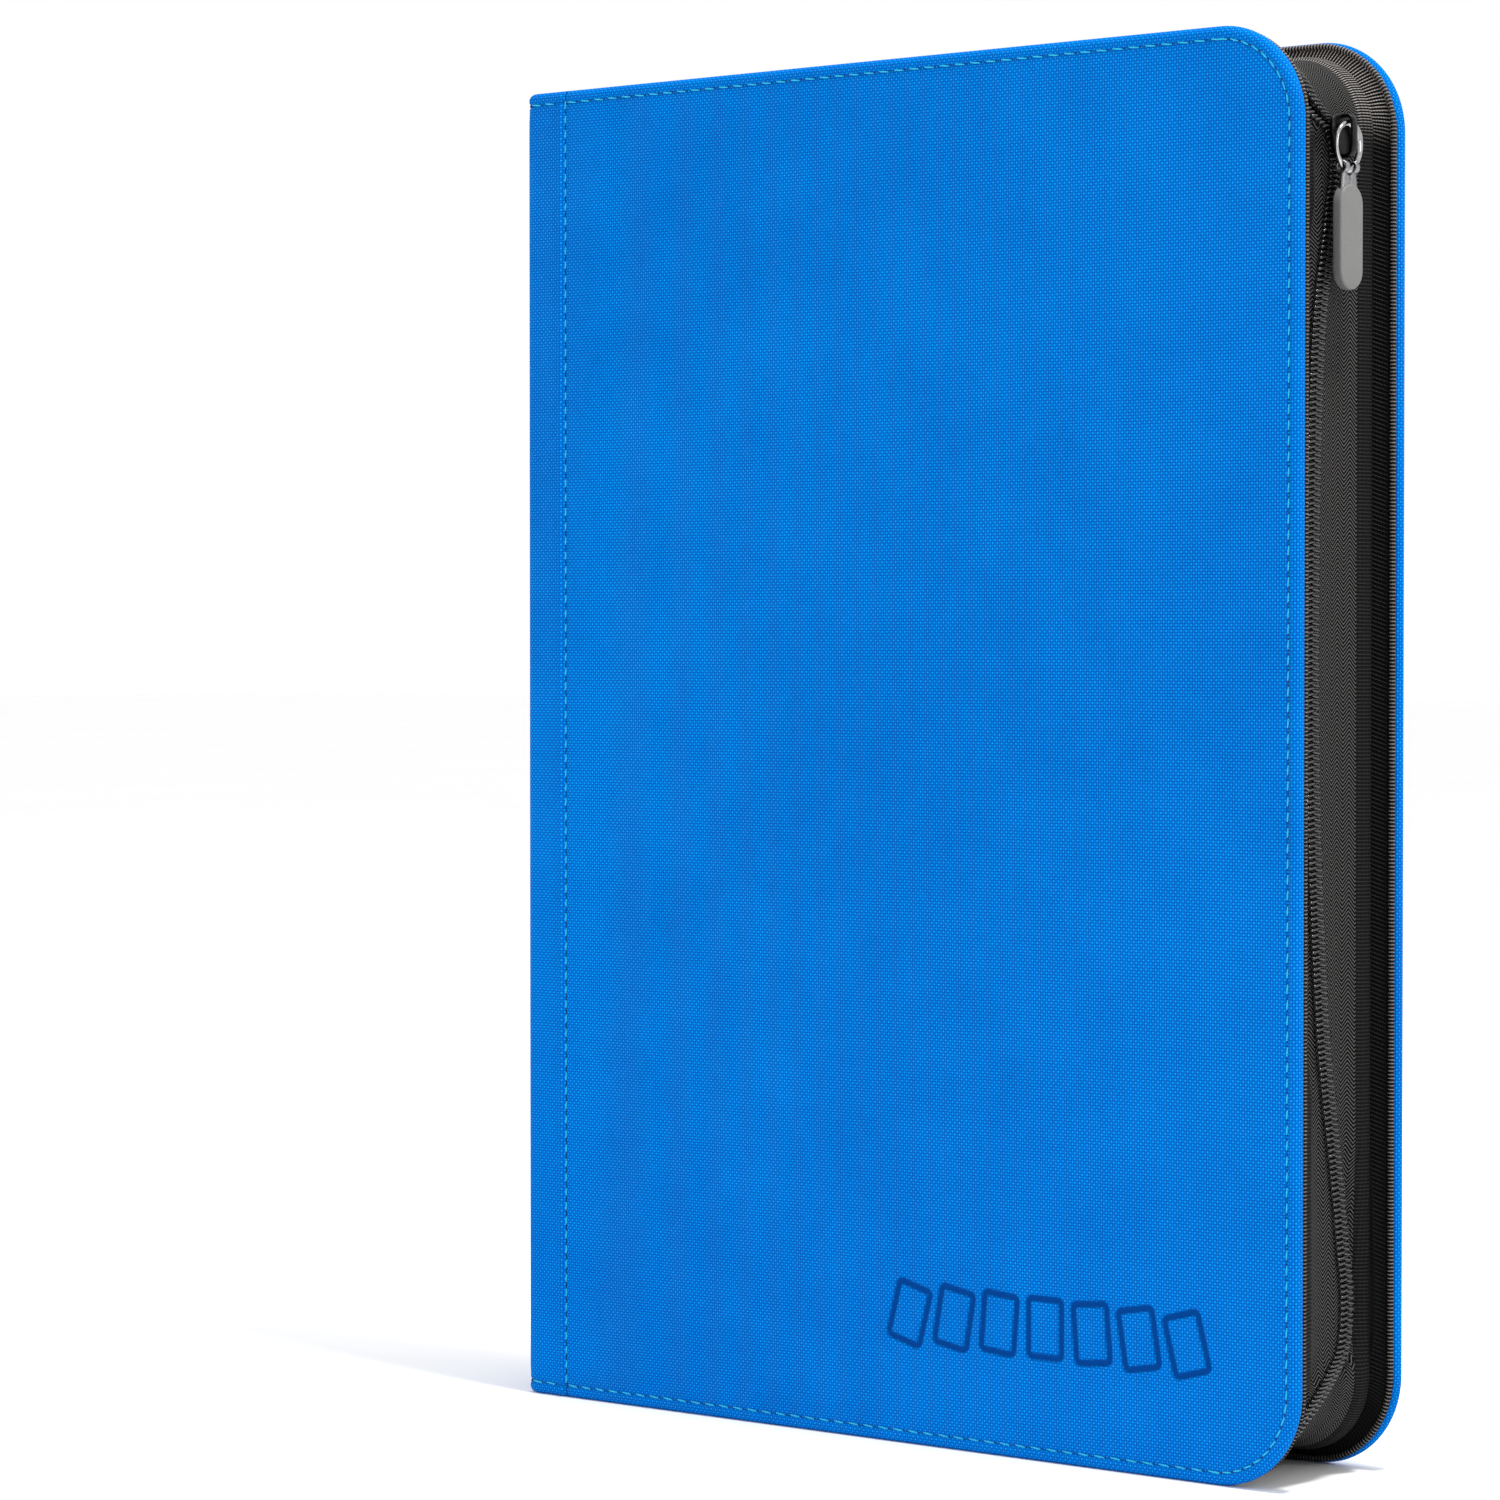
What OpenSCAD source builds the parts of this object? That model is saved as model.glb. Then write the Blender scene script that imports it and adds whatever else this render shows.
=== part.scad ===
// Zip-up trading card binder, standing on its lower edge.
// +Z is up, the spine is at -X, the zipped free edge at +X, the front cover faces -Y.
// The origin is at the middle of the footprint.

/* [Pages] */
// Width of one card pocket
pocket_w = 65.5; // [64:0.5:90]
// Height of one card pocket
pocket_h = 90; // [80:1:120]
// Pockets in a row across a page
pockets_across = 3; // [2:1:4]
// Pockets in a column down a page
pockets_down = 3; // [2:1:4]
// Page border between the binding and the first pocket
page_bind_border = 6; // [4:0.5:16]
// Page border outside the last pocket, at the free edge
page_free_border = 3; // [2:0.5:8]
// Page border above and below the pockets
page_end_border = 4; // [2:0.5:10]
// Thickness of an empty page
page_t = 0.7; // [0.4:0.05:0.9]
// Spacing of the pages in the closed binder
page_pitch = 1.5; // [1.2:0.05:2.2]
// Radius of a page's free corners
page_corner_r = 5; // [2:0.5:12]

/* [Covers] */
// Thickness of a cover
cover_t = 3.4; // [2.8:0.1:6]
// Thickness of the outer fabric
skin_t = 0.9; // [0.5:0.1:1.2]
// Thickness of the lining
lining_t = 0.5; // [0.3:0.1:0.8]
// Width of the rolled fabric rim around a board
rim_w = 3; // [2:0.25:6]
// Radius of the two corners at a cover's free edge
corner_r = 22; // [14:1:40]
// Room above and below the pages
end_room = 23.5; // [12:0.5:40]
// Room between a cover's lining and the first page
side_room = 0.6; // [0.4:0.1:3]
// Half of the gap between the two middle pages
middle_room = 3.6; // [2:0.1:8]

/* [Zipper] */
// Depth of the tape behind the covers' free edge
tape_in = 6; // [4.2:0.1:9]
// Width of one tape
tape_w = 7.9; // [6:0.1:10]
// Thickness of the tape
tape_t = 0.8; // [0.5:0.1:1.2]
// Width of the coil on one tape
coil_w = 2.2; // [1.8:0.1:3]
// Height of the coil on the tape
coil_t = 1.6; // [1.2:0.1:2.4]
// Slit between the two tapes, where the slider's post runs
slit = 1.2; // [1:0.1:1.6]
// Thickness of the gusset
gusset_t = 1; // [0.6:0.1:1]
// Thickness of the ribbed edge binding beside the gusset
edge_binding_t = 0.5; // [0.3:0.1:1]
// Distance of the edge binding from the covers' edge
edge_binding_in = 1; // [0.5:0.1:2]
// Width of the seam between gusset and tape
seam_w = 2; // [1:0.1:3]
// Distance from the spine's inner face to where the zipper starts
zip_start = 12; // [8:0.5:20]
// Length of the stop at each end of the coil
stop_len = 3; // [2:0.5:6]

/* [Slider] */
// Length of the slider
slider_len = 10; // [9:0.5:14]
// Width of the slider
slider_w = 9; // [8:0.5:12]
// Thickness of each slider plate
plate_t = 1; // [0.8:0.1:1.4]
// Slider's centre, below the end of the upper corner
slider_drop = 2; // [1.8:0.1:40]
// Width of the bridge that holds the ring
bridge_w = 2.4; // [1.6:0.1:3]
// Thickness of the bridge
bridge_t = 1; // [0.8:0.1:1.4]
// Length of each leg of the bridge
bridge_leg = 1.2; // [1:0.1:1.6]

/* [Pull] */
// Diameter of the ring's wire
wire_d = 1.5; // [1:0.1:1.8]
// Width of the ring
ring_w = 10; // [7:0.5:12]
// Length of the ring
ring_len = 12; // [11:0.5:18]
// Width of the link
link_w = 3; // [2:0.1:5]
// Thickness of the link's metal
link_t = 0.45; // [0.3:0.05:0.6]
// Length of the pull tab
tab_len = 23.5; // [18:0.5:30]
// Width of the pull tab
tab_w = 9; // [6:0.5:12]
// Thickness of the pull tab
tab_t = 2.5; // [2.3:0.1:3]
// How far the link grips the tab
tab_grip = 3.4; // [2:0.1:5]
// Gap between the ring's bend and the tab
tab_drop = 2.3; // [2:0.1:4]

/* [Clearances] */
// Gap between pieces that move past each other
move_gap = 0.3; // [0.25:0.05:0.5]
// Gap between the slider and the coil or tape
slider_gap = 0.5; // [0.4:0.05:0.6]
// Gap between the ring's wire and the slider
ring_gap = 0.35; // [0.3:0.05:0.5]
// Gap between a spine end panel and the end of the zipper
end_gap = 0.5; // [0.4:0.1:2]
// Gap between the binding and the pages' hinge lines
binding_gap = 1.2; // [1:0.1:2]
// Gap between the slider and the pages' free edge
page_gap = 0.85; // [0.5:0.05:10]

/* [Hidden] */
$fn = 64;

// Pages on each side of the binding
pages_per_side = 10;
// Past a cut's ends, so that no face is left behind
cut = 1;
// Distance from the slider's upper end to its widest place
plate_shoulder = 2;
// The post between the slider's plates: its distance from their upper end, and its length
post_in = 0.5;
post_len = 3.5;

page_w = page_bind_border + pockets_across * pocket_w + page_free_border;
page_h = 2 * page_end_border + pockets_down * pocket_h;
// Offset of a page's hinge line from the cover's own, along X and along Y
function page_offset(i) = side_room + page_t / 2 + i * page_pitch;
last_offset = page_offset(pages_per_side - 1);

inside_half = last_offset + page_t / 2 + middle_room;
binder_t = 2 * (inside_half + cover_t);
cover_h = page_h + 2 * end_room;
board_t = cover_t - skin_t - lining_t;

// Depths behind the covers' free edge, from the tape outwards
coil_out = tape_in - coil_t;
plate_in = coil_out - slider_gap;
plate_out = plate_in - plate_t;
ring_depth = plate_out - ring_gap - wire_d / 2;
bridge_in = ring_depth - wire_d / 2 - ring_gap;
bridge_out = bridge_in - bridge_t;
// How far the bridge stands out past the covers
pull_out = max(0, -bridge_out);
// Depth of the slider's inner plate, on the pages' side of the tape
plate_back = tape_in + tape_t + slider_gap;

cover_w = cover_t + last_offset + page_w + page_gap + plate_back + plate_t;

x_spine = -(cover_w + pull_out) / 2;
x_free = x_spine + cover_w;
x_hinge = x_spine + cover_t;
x_zip = x_hinge + zip_start;
x_ring = x_free - ring_depth;

gusset_y = slit / 2 + tape_w - seam_w;
slider_z = cover_h - corner_r - slider_drop;
slider_top = slider_z + slider_len / 2;
slider_bottom = slider_z - slider_len / 2;
bar_z = slider_top - bridge_leg - move_gap - wire_d / 2;
bend_r = (ring_w - wire_d) / 2;
bend_z = bar_z - ring_len + wire_d + bend_r;
link_axis_z = bend_z - bend_r;
// Height that the inside of the ring's bend gains over half the link's width
bend_in = bend_r - wire_d / 2;
bend_rise = bend_in - sqrt(bend_in * bend_in - link_w * link_w / 4);
link_inside_z = link_axis_z + wire_d / 2 + bend_rise + move_gap;
link_top_z = link_inside_z + link_t;
tab_top_z = link_axis_z - wire_d / 2 - tab_drop;
link_h = link_top_z - tab_top_z + tab_grip;

fabric_blue = "#0f72c8";
lining_black = "#1c1d20";
tape_grey = "#2b2c30";
coil_black = "#17181a";
board_brown = "#a98d63";
page_black = "#26272b";
metal = "#9ea1a6";
rubber_grey = "#8f908d";

// The covers' outline drawn in by d, from x0 to the free edge, as X and Z
module outline(d, x0) {
    r = corner_r - d;
    x1 = x_free - d;
    union() {
        translate([x0, d]) square([x1 - r - x0, cover_h - 2 * d]);
        translate([x0, d + r]) square([x1 - x0, cover_h - 2 * (d + r)]);
        for (z = [d + r, cover_h - d - r])
            translate([x1 - r, z]) circle(r = r);
    }
}

// Stands an outline of X and Z upright and fills it from y0 to y1
module upright(y0, y1) {
    translate([0, y1, 0]) rotate([90, 0, 0]) linear_extrude(height = y1 - y0) children();
}

// A strip that follows the covers' edge from the spine's top round to its bottom
module edge_band(d0, d1, x0, y0, y1) {
    upright(y0, y1) difference() {
        outline(d0, x0);
        outline(d1, x0 - cut);
    }
}

// Turns what is made for the back into its twin at the front
module front_side() {
    mirror([0, 1, 0]) children();
}

// Outer fabric of a cover, rolled round the board, open towards the lining
module cover_skin() {
    color(fabric_blue) difference() {
        upright(inside_half, inside_half + cover_t) outline(0, x_hinge + move_gap);
        upright(inside_half - cut, inside_half + cover_t - skin_t) outline(rim_w, x_hinge + move_gap + rim_w);
    }
}

module cover_stiffener() {
    color(board_brown) upright(inside_half + lining_t, inside_half + lining_t + board_t)
        outline(rim_w, x_hinge + move_gap + rim_w);
}

module cover_lining() {
    color(lining_black) upright(inside_half, inside_half + lining_t)
        outline(rim_w, x_hinge + move_gap + rim_w);
}

// Ribbed strip that hides the seam between the rim and the gusset
module edge_binding() {
    color(lining_black)
        edge_band(edge_binding_in, tape_in - gusset_t, x_zip, inside_half - edge_binding_t, inside_half);
}

module gusset() {
    color(lining_black) edge_band(tape_in - gusset_t, tape_in, x_zip, gusset_y, inside_half);
}

module zipper_tape() {
    color(tape_grey) edge_band(tape_in, tape_in + tape_t, x_zip, slit / 2, slit / 2 + tape_w);
}

module zipper_coil() {
    color(coil_black) edge_band(coil_out, tape_in, x_zip + stop_len, slit / 2, slit / 2 + coil_w);
}

// The two clips that end the coil, one above and one below
module zipper_stops() {
    color(metal) for (z = [coil_out, cover_h - tape_in])
        translate([x_zip, slit / 2, z]) cube([stop_len, coil_w, coil_t]);
}

module spine_cover() {
    color(fabric_blue) difference() {
        translate([x_spine, move_gap - inside_half, 0])
            cube([cover_t, 2 * (inside_half - move_gap), cover_h]);
        translate([x_spine + skin_t, move_gap - inside_half + rim_w, rim_w])
            cube([cover_t, 2 * (inside_half - move_gap - rim_w), cover_h - 2 * rim_w]);
    }
}

// A sheet that fills the spine's rolled rim, from depth d for a thickness t
module spine_sheet(d, t) {
    translate([x_spine + d, move_gap - inside_half + rim_w, rim_w])
        cube([t, 2 * (inside_half - move_gap - rim_w), cover_h - 2 * rim_w]);
}

module spine_board() {
    color(board_brown) spine_sheet(skin_t, board_t);
}

module spine_lining() {
    color(lining_black) spine_sheet(skin_t + board_t, lining_t);
}

// Wedge that the pages are sewn to, with a ridge between the two middle pages
module page_binding() {
    ridge_y = inside_half - last_offset - page_t / 2 - move_gap;
    ridge_x = last_offset + page_t / 2;
    foot_y = inside_half - binding_gap;
    shoulder_x = foot_y - ridge_y;
    color(lining_black) translate([x_hinge, 0, end_room]) linear_extrude(height = page_h)
        polygon([
            [0, -foot_y], [shoulder_x, -ridge_y], [ridge_x, -ridge_y],
            [ridge_x, ridge_y], [shoulder_x, ridge_y], [0, foot_y]
        ]);
}

// Panel that closes one end of the spine between the zipper's two ends
module spine_end(z) {
    color(lining_black) translate([x_hinge, move_gap - inside_half, z])
        cube([zip_start - end_gap, 2 * (inside_half - move_gap), gusset_t]);
}

module spine_bottom_end() {
    spine_end(tape_in - gusset_t);
}

module spine_top_end() {
    spine_end(cover_h - tape_in);
}

// Page i of the back half, counted from the cover; it hinges on its edge next to the spine
module page(i) {
    x0 = x_hinge + page_offset(i);
    y0 = inside_half - page_offset(i) - page_t / 2;
    color(page_black) upright(y0, y0 + page_t) union() {
        translate([x0, end_room]) square([page_w - page_corner_r, page_h]);
        translate([x0, end_room + page_corner_r]) square([page_w, page_h - 2 * page_corner_r]);
        for (z = [end_room + page_corner_r, end_room + page_h - page_corner_r])
            translate([x0 + page_w - page_corner_r, z]) circle(r = page_corner_r);
    }
}

// Outline of a slider plate as Y and Z, narrower at its lower, closed end
module plate_outline() {
    half_w = slider_w / 2;
    tail_y = 0.72 * half_w;
    waist_y = 0.85 * half_w;
    nose_y = 0.8 * half_w;
    shoulder_z = slider_top - plate_shoulder;
    polygon([
        [-tail_y, slider_bottom], [tail_y, slider_bottom], [waist_y, slider_z],
        [half_w, shoulder_z], [nose_y, slider_top], [-nose_y, slider_top],
        [-half_w, shoulder_z], [-waist_y, slider_z]
    ]);
}

// Fills an outline of Y and Z from depth d0 to the shallower depth d1 behind the free edge
module along_x(d0, d1) {
    translate([x_free - d0, 0, 0]) rotate([90, 0, 90]) linear_extrude(height = d0 - d1) children();
}

// Two plates with a post between the coils, and a lip over the back coil
module slider_body() {
    post_t = slit - 2 * move_gap;
    lip_y = slit / 2 + coil_w + slider_gap;
    color(metal) union() {
        along_x(plate_in, plate_out) plate_outline();
        along_x(plate_back + plate_t, plate_back) plate_outline();
        translate([x_free - plate_back, -post_t / 2, slider_top - post_in - post_len])
            cube([plate_back - plate_in, post_t, post_len]);
        along_x(tape_in - slider_gap, plate_in) intersection() {
            plate_outline();
            translate([lip_y, slider_bottom]) square([slider_w, slider_len]);
        }
    }
}

module slider_bridge() {
    color(metal) difference() {
        translate([x_free - plate_out, -bridge_w / 2, slider_bottom])
            cube([plate_out - bridge_out, bridge_w, slider_len]);
        translate([x_free - plate_out - cut, -bridge_w, slider_bottom + bridge_leg])
            cube([plate_out - bridge_in + cut, 2 * bridge_w, slider_len - 2 * bridge_leg]);
    }
}

// D-shaped wire ring: a straight bar under the bridge, two sides and a round bend below
module pull_ring() {
    color(metal) translate([x_ring, 0, 0]) union() {
        translate([0, -bend_r, bar_z]) rotate([-90, 0, 0]) cylinder(d = wire_d, h = 2 * bend_r);
        for (side = [-1, 1]) translate([0, side * bend_r, 0]) {
            translate([0, 0, bend_z]) cylinder(d = wire_d, h = bar_z - bend_z);
            translate([0, 0, bar_z]) sphere(d = wire_d);
        }
        translate([0, 0, bend_z]) rotate([-90, 0, 90]) rotate_extrude(angle = 180)
            translate([bend_r, 0]) circle(d = wire_d);
    }
}

// Strap folded over the ring's bend, whose two cheeks grip the tab
module pull_link() {
    color(metal) translate([x_ring, 0, 0]) difference() {
        translate([-tab_t / 2 - link_t, -link_w / 2, link_top_z - link_h])
            cube([tab_t + 2 * link_t, link_w, link_h]);
        translate([-tab_t / 2, -link_w, link_top_z - link_h - cut])
            cube([tab_t, 2 * link_w, link_h - (link_top_z - link_inside_z) + cut]);
    }
}

module pull_tab() {
    r = tab_w / 2;
    color(rubber_grey) translate([x_ring - tab_t / 2, 0, tab_top_z]) rotate([90, 0, 90])
        linear_extrude(height = tab_t) union() {
            translate([-r, r - tab_len]) square([tab_w, tab_len - tab_w]);
            translate([0, -r]) circle(r = r);
            translate([0, r - tab_len]) circle(r = r);
        }
}

spine_cover();
spine_board();
spine_lining();
page_binding();
spine_top_end();
spine_bottom_end();
front_side() cover_skin();  // front_cover
front_side() cover_stiffener();  // front_board
front_side() cover_lining();  // front_lining
front_side() edge_binding();  // front_edge_binding
front_side() gusset();  // front_gusset
front_side() zipper_tape();  // front_zipper_tape
front_side() zipper_coil();  // front_zipper_coil
front_side() zipper_stops();  // front_zipper_stops
cover_skin();  // back_cover
cover_stiffener();  // back_board
cover_lining();  // back_lining
edge_binding();  // back_edge_binding
gusset();  // back_gusset
zipper_tape();  // back_zipper_tape
zipper_coil();  // back_zipper_coil
zipper_stops();  // back_zipper_stops
slider_body();
slider_bridge();
pull_ring();
pull_link();
pull_tab();
front_side() page(0);  // page_01
front_side() page(1);  // page_02
front_side() page(2);  // page_03
front_side() page(3);  // page_04
front_side() page(4);  // page_05
front_side() page(5);  // page_06
front_side() page(6);  // page_07
front_side() page(7);  // page_08
front_side() page(8);  // page_09
front_side() page(9);  // page_10
page(9);  // page_11
page(8);  // page_12
page(7);  // page_13
page(6);  // page_14
page(5);  // page_15
page(4);  // page_16
page(3);  // page_17
page(2);  // page_18
page(1);  // page_19
page(0);  // page_20
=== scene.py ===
import bmesh
import bpy
import numpy as np
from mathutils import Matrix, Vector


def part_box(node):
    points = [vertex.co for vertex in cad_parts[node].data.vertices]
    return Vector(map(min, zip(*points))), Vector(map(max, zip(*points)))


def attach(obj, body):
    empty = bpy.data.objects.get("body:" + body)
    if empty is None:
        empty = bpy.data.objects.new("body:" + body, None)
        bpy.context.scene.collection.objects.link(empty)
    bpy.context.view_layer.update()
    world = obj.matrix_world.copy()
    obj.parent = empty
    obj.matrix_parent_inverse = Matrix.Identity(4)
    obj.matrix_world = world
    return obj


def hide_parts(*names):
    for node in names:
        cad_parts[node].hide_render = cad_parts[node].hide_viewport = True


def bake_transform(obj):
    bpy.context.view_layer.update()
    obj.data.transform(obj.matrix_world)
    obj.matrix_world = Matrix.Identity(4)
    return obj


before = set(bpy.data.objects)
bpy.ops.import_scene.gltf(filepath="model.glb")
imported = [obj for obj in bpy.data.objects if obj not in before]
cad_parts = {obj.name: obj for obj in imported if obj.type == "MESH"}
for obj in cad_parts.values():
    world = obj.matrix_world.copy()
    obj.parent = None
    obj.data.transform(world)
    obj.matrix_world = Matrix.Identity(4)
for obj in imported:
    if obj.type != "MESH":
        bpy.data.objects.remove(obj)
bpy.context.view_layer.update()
mm = 0.001
pi = np.pi

layout = {"corner": 22 * mm, "seam": 14.3 * mm, "spineRound": 4.5 * mm}

coverLow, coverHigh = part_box("back_cover")
tapeLow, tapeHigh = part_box("back_zipper_tape")
wedgeLow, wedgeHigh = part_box("page_binding")
sliderLow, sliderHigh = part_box("slider_body")

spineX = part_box("spine_cover")[0].x
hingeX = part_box("spine_top_end")[0].x
freeX = coverHigh.x
innerY = coverLow.y                      # a cover's lining face
outerY = coverHigh.y                     # a cover's outer face
coverT = outerY - innerY
tall = coverHigh.z
zipX = tapeLow.x                         # where the zipper starts beside the spine
tapeDepth = freeX - tapeHigh.x           # behind the covers' free edge
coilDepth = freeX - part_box("back_zipper_coil")[1].x
sliderZ = (sliderLow.z + sliderHigh.z) / 2
cornerR = layout["corner"]
seamX = spineX + layout["seam"]          # stitched seam between the spine fabric and a cover
spineR = layout["spineRound"]
sides = {"front": -1, "back": 1}


def pack(*columns):
    # numbers or arrays side by side as the last axis, each spread to the others' shape
    return np.stack(np.broadcast_arrays(*columns), -1)


def quads(index):
    # four-cornered faces between the neighbours in a grid of point numbers
    return pack(index[..., :-1, :-1], index[..., 1:, :-1], index[..., 1:, 1:], index[..., :-1, 1:]).reshape(-1, 4)


def turns(steps):
    # angles once round, the last one short of the first
    return np.linspace(0, 2 * pi, steps, endpoint=False)


def gridPart(points, spots=None, closeRow=False, closeColumn=False, finish=0):
    # a grid of points (rows, columns, 3) as vertices and four-cornered faces; either way round may close on itself
    rows, columns = points.shape[:2]
    index = np.arange(rows * columns).reshape(rows, columns)
    if closeColumn:
        index = np.vstack([index, index[:1]])
    if closeRow:
        index = np.hstack([index, index[:, :1]])
    flat = np.zeros((rows * columns, 2)) if spots is None else spots.reshape(-1, 2)
    return points.reshape(-1, 3), quads(index), flat, finish


def makePiece(name, parts, finishes, body, replaces=(), marks=None, weld=True, thick=0):
    # joins the parts into one mesh, merges doubled points, turns faces outward and gives the piece to its body
    start, points, faces, spots, which = 0, [], [], [], []
    for partPoints, partFaces, partSpots, finish in parts:
        points.append(partPoints)
        faces.append(partFaces + start)
        spots.append(partSpots)
        which.append(np.full(len(partFaces), finish))
        start += len(partPoints)
    points, faces = np.vstack(points), np.vstack(faces)
    spots, which = np.vstack(spots), np.concatenate(which)
    mesh = bpy.data.meshes.new(name)
    mesh.from_pydata(points.tolist(), [], faces.tolist())
    mesh.polygons.foreach_set("material_index", which)
    layer = mesh.uv_layers.new(name="cloth")
    layer.uv.foreach_set("vector", spots[faces.ravel()].ravel())
    if marks is not None:
        pressed = mesh.attributes.new("pressed", "FLOAT", "POINT")
        pressed.data.foreach_set("value", marks.ravel())
    shape = bmesh.new()
    shape.from_mesh(mesh)
    if weld:
        bmesh.ops.remove_doubles(shape, verts=shape.verts, dist=0.002 * mm)
    bmesh.ops.recalc_face_normals(shape, faces=shape.faces)
    shape.to_mesh(mesh)
    shape.free()
    mesh.polygons.foreach_set("use_smooth", np.ones(len(mesh.polygons), bool))
    for finish in finishes:
        mesh.materials.append(finish)
    made = bpy.data.objects.new(name, mesh)
    bpy.context.scene.collection.objects.link(made)
    if thick:
        wall = made.modifiers.new("wall", "SOLIDIFY")
        wall.thickness = thick
        wall.offset = 0
    if body:
        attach(made, body)
    if replaces:
        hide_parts(*replaces)
    return made


def edgeLine(along, depth, fromX):
    # x, z and outward normal at a distance along the covers' edge (top, corner, free edge, corner, bottom),
    # drawn in by a depth: centre of the corner that is due, plus (radius - depth) times the normal
    straight = freeX - cornerR - fromX
    bend, side = pi / 2 * cornerR, tall - 2 * cornerR
    first = np.clip(along, 0, straight)
    turnA = np.clip(along - straight, 0, bend) / cornerR
    down = np.clip(along - straight - bend, 0, side)
    turnB = np.clip(along - straight - bend - side, 0, bend) / cornerR
    last = np.clip(along - straight - 2 * bend - side, 0, straight)
    angle = pi / 2 - turnA - turnB
    nx, nz = np.cos(angle), np.sin(angle)
    x = fromX + first - last + (cornerR - depth) * nx
    z = tall - cornerR - down + (cornerR - depth) * nz
    return x, z, nx, nz


def edgeLength(fromX):
    # two straights, the free edge between its corners and two quarter rounds
    return 2 * (freeX - cornerR - fromX) + tall - 2 * cornerR + pi * cornerR


def bead(centre, along, out, halfLong, radius, finish=0, rings=5):
    # small round-ended rods: a circle carried along each rod, drawn in at both ends as cos of the end's angle
    rounds = 6
    lift = np.linspace(-pi / 2, pi / 2, rings)
    side = np.cross(along, out)
    turn = turns(rounds)
    length = np.sin(lift)[None, :] * radius[:, None] + np.sign(lift)[None, :] * (halfLong - radius)[:, None]
    wide = np.cos(lift)[None, :] * radius[:, None]
    ring = np.cos(turn)[None, :, None] * out[:, None, :] + np.sin(turn)[None, :, None] * side[:, None, :]
    points = (centre[:, None, None, :] + length[:, :, None, None] * along[:, None, None, :]
              + wide[:, :, None, None] * ring[:, None, :, :])
    index = np.arange(len(centre) * rings * rounds).reshape(len(centre), rings, rounds)
    index = np.concatenate([index, index[:, :, :1]], 2)
    flat = points.reshape(-1, 3)
    return flat, quads(index), flat[:, [0, 2]], finish


def unit(rows):
    # each row divided by its own length
    return rows / np.linalg.norm(rows, axis=-1, keepdims=True)


def lengths(line):
    # distance travelled from the first point of a line to each of its points
    return np.concatenate([[0], np.cumsum(np.linalg.norm(np.diff(line, axis=0), axis=1))])


def copies(row, many):
    # the same three numbers once for each of many points
    return np.tile(np.array(row, float), (many, 1))


def carry(path, guide, profile, close=False, scale=None):
    # a profile (two numbers across) carried along a path; the guide says which way the profile's first number points
    if close:
        ahead = np.roll(path, -1, 0) - np.roll(path, 1, 0)
    else:
        ahead = np.gradient(path, axis=0)
    ahead = unit(ahead)
    first = unit(guide - (guide * ahead).sum(1, keepdims=True) * ahead)
    second = np.cross(ahead, first)
    shape = np.broadcast_to(profile, (len(path),) + profile.shape[-2:])
    if scale is not None:
        shape = shape * scale[:, None, None]
    points = path[:, None, :] + shape[..., 0:1] * first[:, None, :] + shape[..., 1:2] * second[:, None, :]
    girth = lengths(np.vstack([shape[0], shape[0][:1]]))[-1]
    around = np.linspace(0, 1, profile.shape[-2], endpoint=False) * girth
    spots = pack(lengths(path)[:, None], around[None, :])
    return gridPart(points, spots, closeRow=True, closeColumn=close)


def blunt(wave, power):
    # a power of the wave's size with the wave's own sign: below 1 it squares a round shape
    return np.sign(wave) * np.abs(wave) ** power


def circle(radius, steps):
    # points once round, by cos and sin
    turn = turns(steps)
    return pack(radius * np.cos(turn), radius * np.sin(turn))


def plate(outline, low, high, bevel, order, steps=3):
    # a flat plate with rounded edges: the outline drawn in by bevel * (1 - cos) as it rises by bevel * sin, capped in
    # rings; the order names the axes that the outline's two numbers and the height stand for
    ahead = np.roll(outline, -1, 0) - np.roll(outline, 1, 0)
    inward = unit(pack(-ahead[:, 1], ahead[:, 0]))
    middle = outline.mean(0)
    if ((outline - middle) * inward).sum() > 0:
        inward = -inward
    turn = np.linspace(0, pi / 2, steps + 1)
    rise = [(bevel * (1 - np.sin(t)), low + bevel * (1 - np.cos(t))) for t in turn]
    rise += [(bevel * (1 - np.cos(t)), high - bevel * (1 - np.sin(t))) for t in turn]
    rows = [np.hstack([outline + inward * drawn, np.full((len(outline), 1), level)]) for drawn, level in rise]

    def cap(row, share, level):
        # a ring drawn in to a share of its distance from the middle
        return np.hstack([middle + (row[:, :2] - middle) * share, np.full((len(outline), 1), level)])

    foot, head = rows[0], rows[-1]
    rows = [cap(foot, 0.0, low), cap(foot, 0.5, low)] + rows + [cap(head, 0.5, high), cap(head, 0.0, high)]
    solid = np.stack(rows)
    turned = np.empty_like(solid)
    for source, letter in enumerate(order):
        turned[..., "xyz".index(letter)] = solid[..., source]
    return gridPart(turned, solid[..., :2], closeRow=True)


def roundedBox(x0, x1, z0, z1, radius, steps):
    # a rectangle with round corners, as points once round: each corner's centre plus the radius by cos and sin
    turn = np.linspace(0, pi / 2, steps)
    centres = [(x1 - radius, z1 - radius), (x0 + radius, z1 - radius),
               (x0 + radius, z0 + radius), (x1 - radius, z0 + radius)]
    return np.vstack([pack(cx + radius * np.cos(turn + k * pi / 2), cz + radius * np.sin(turn + k * pi / 2))
                      for k, (cx, cz) in enumerate(centres)])


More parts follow.
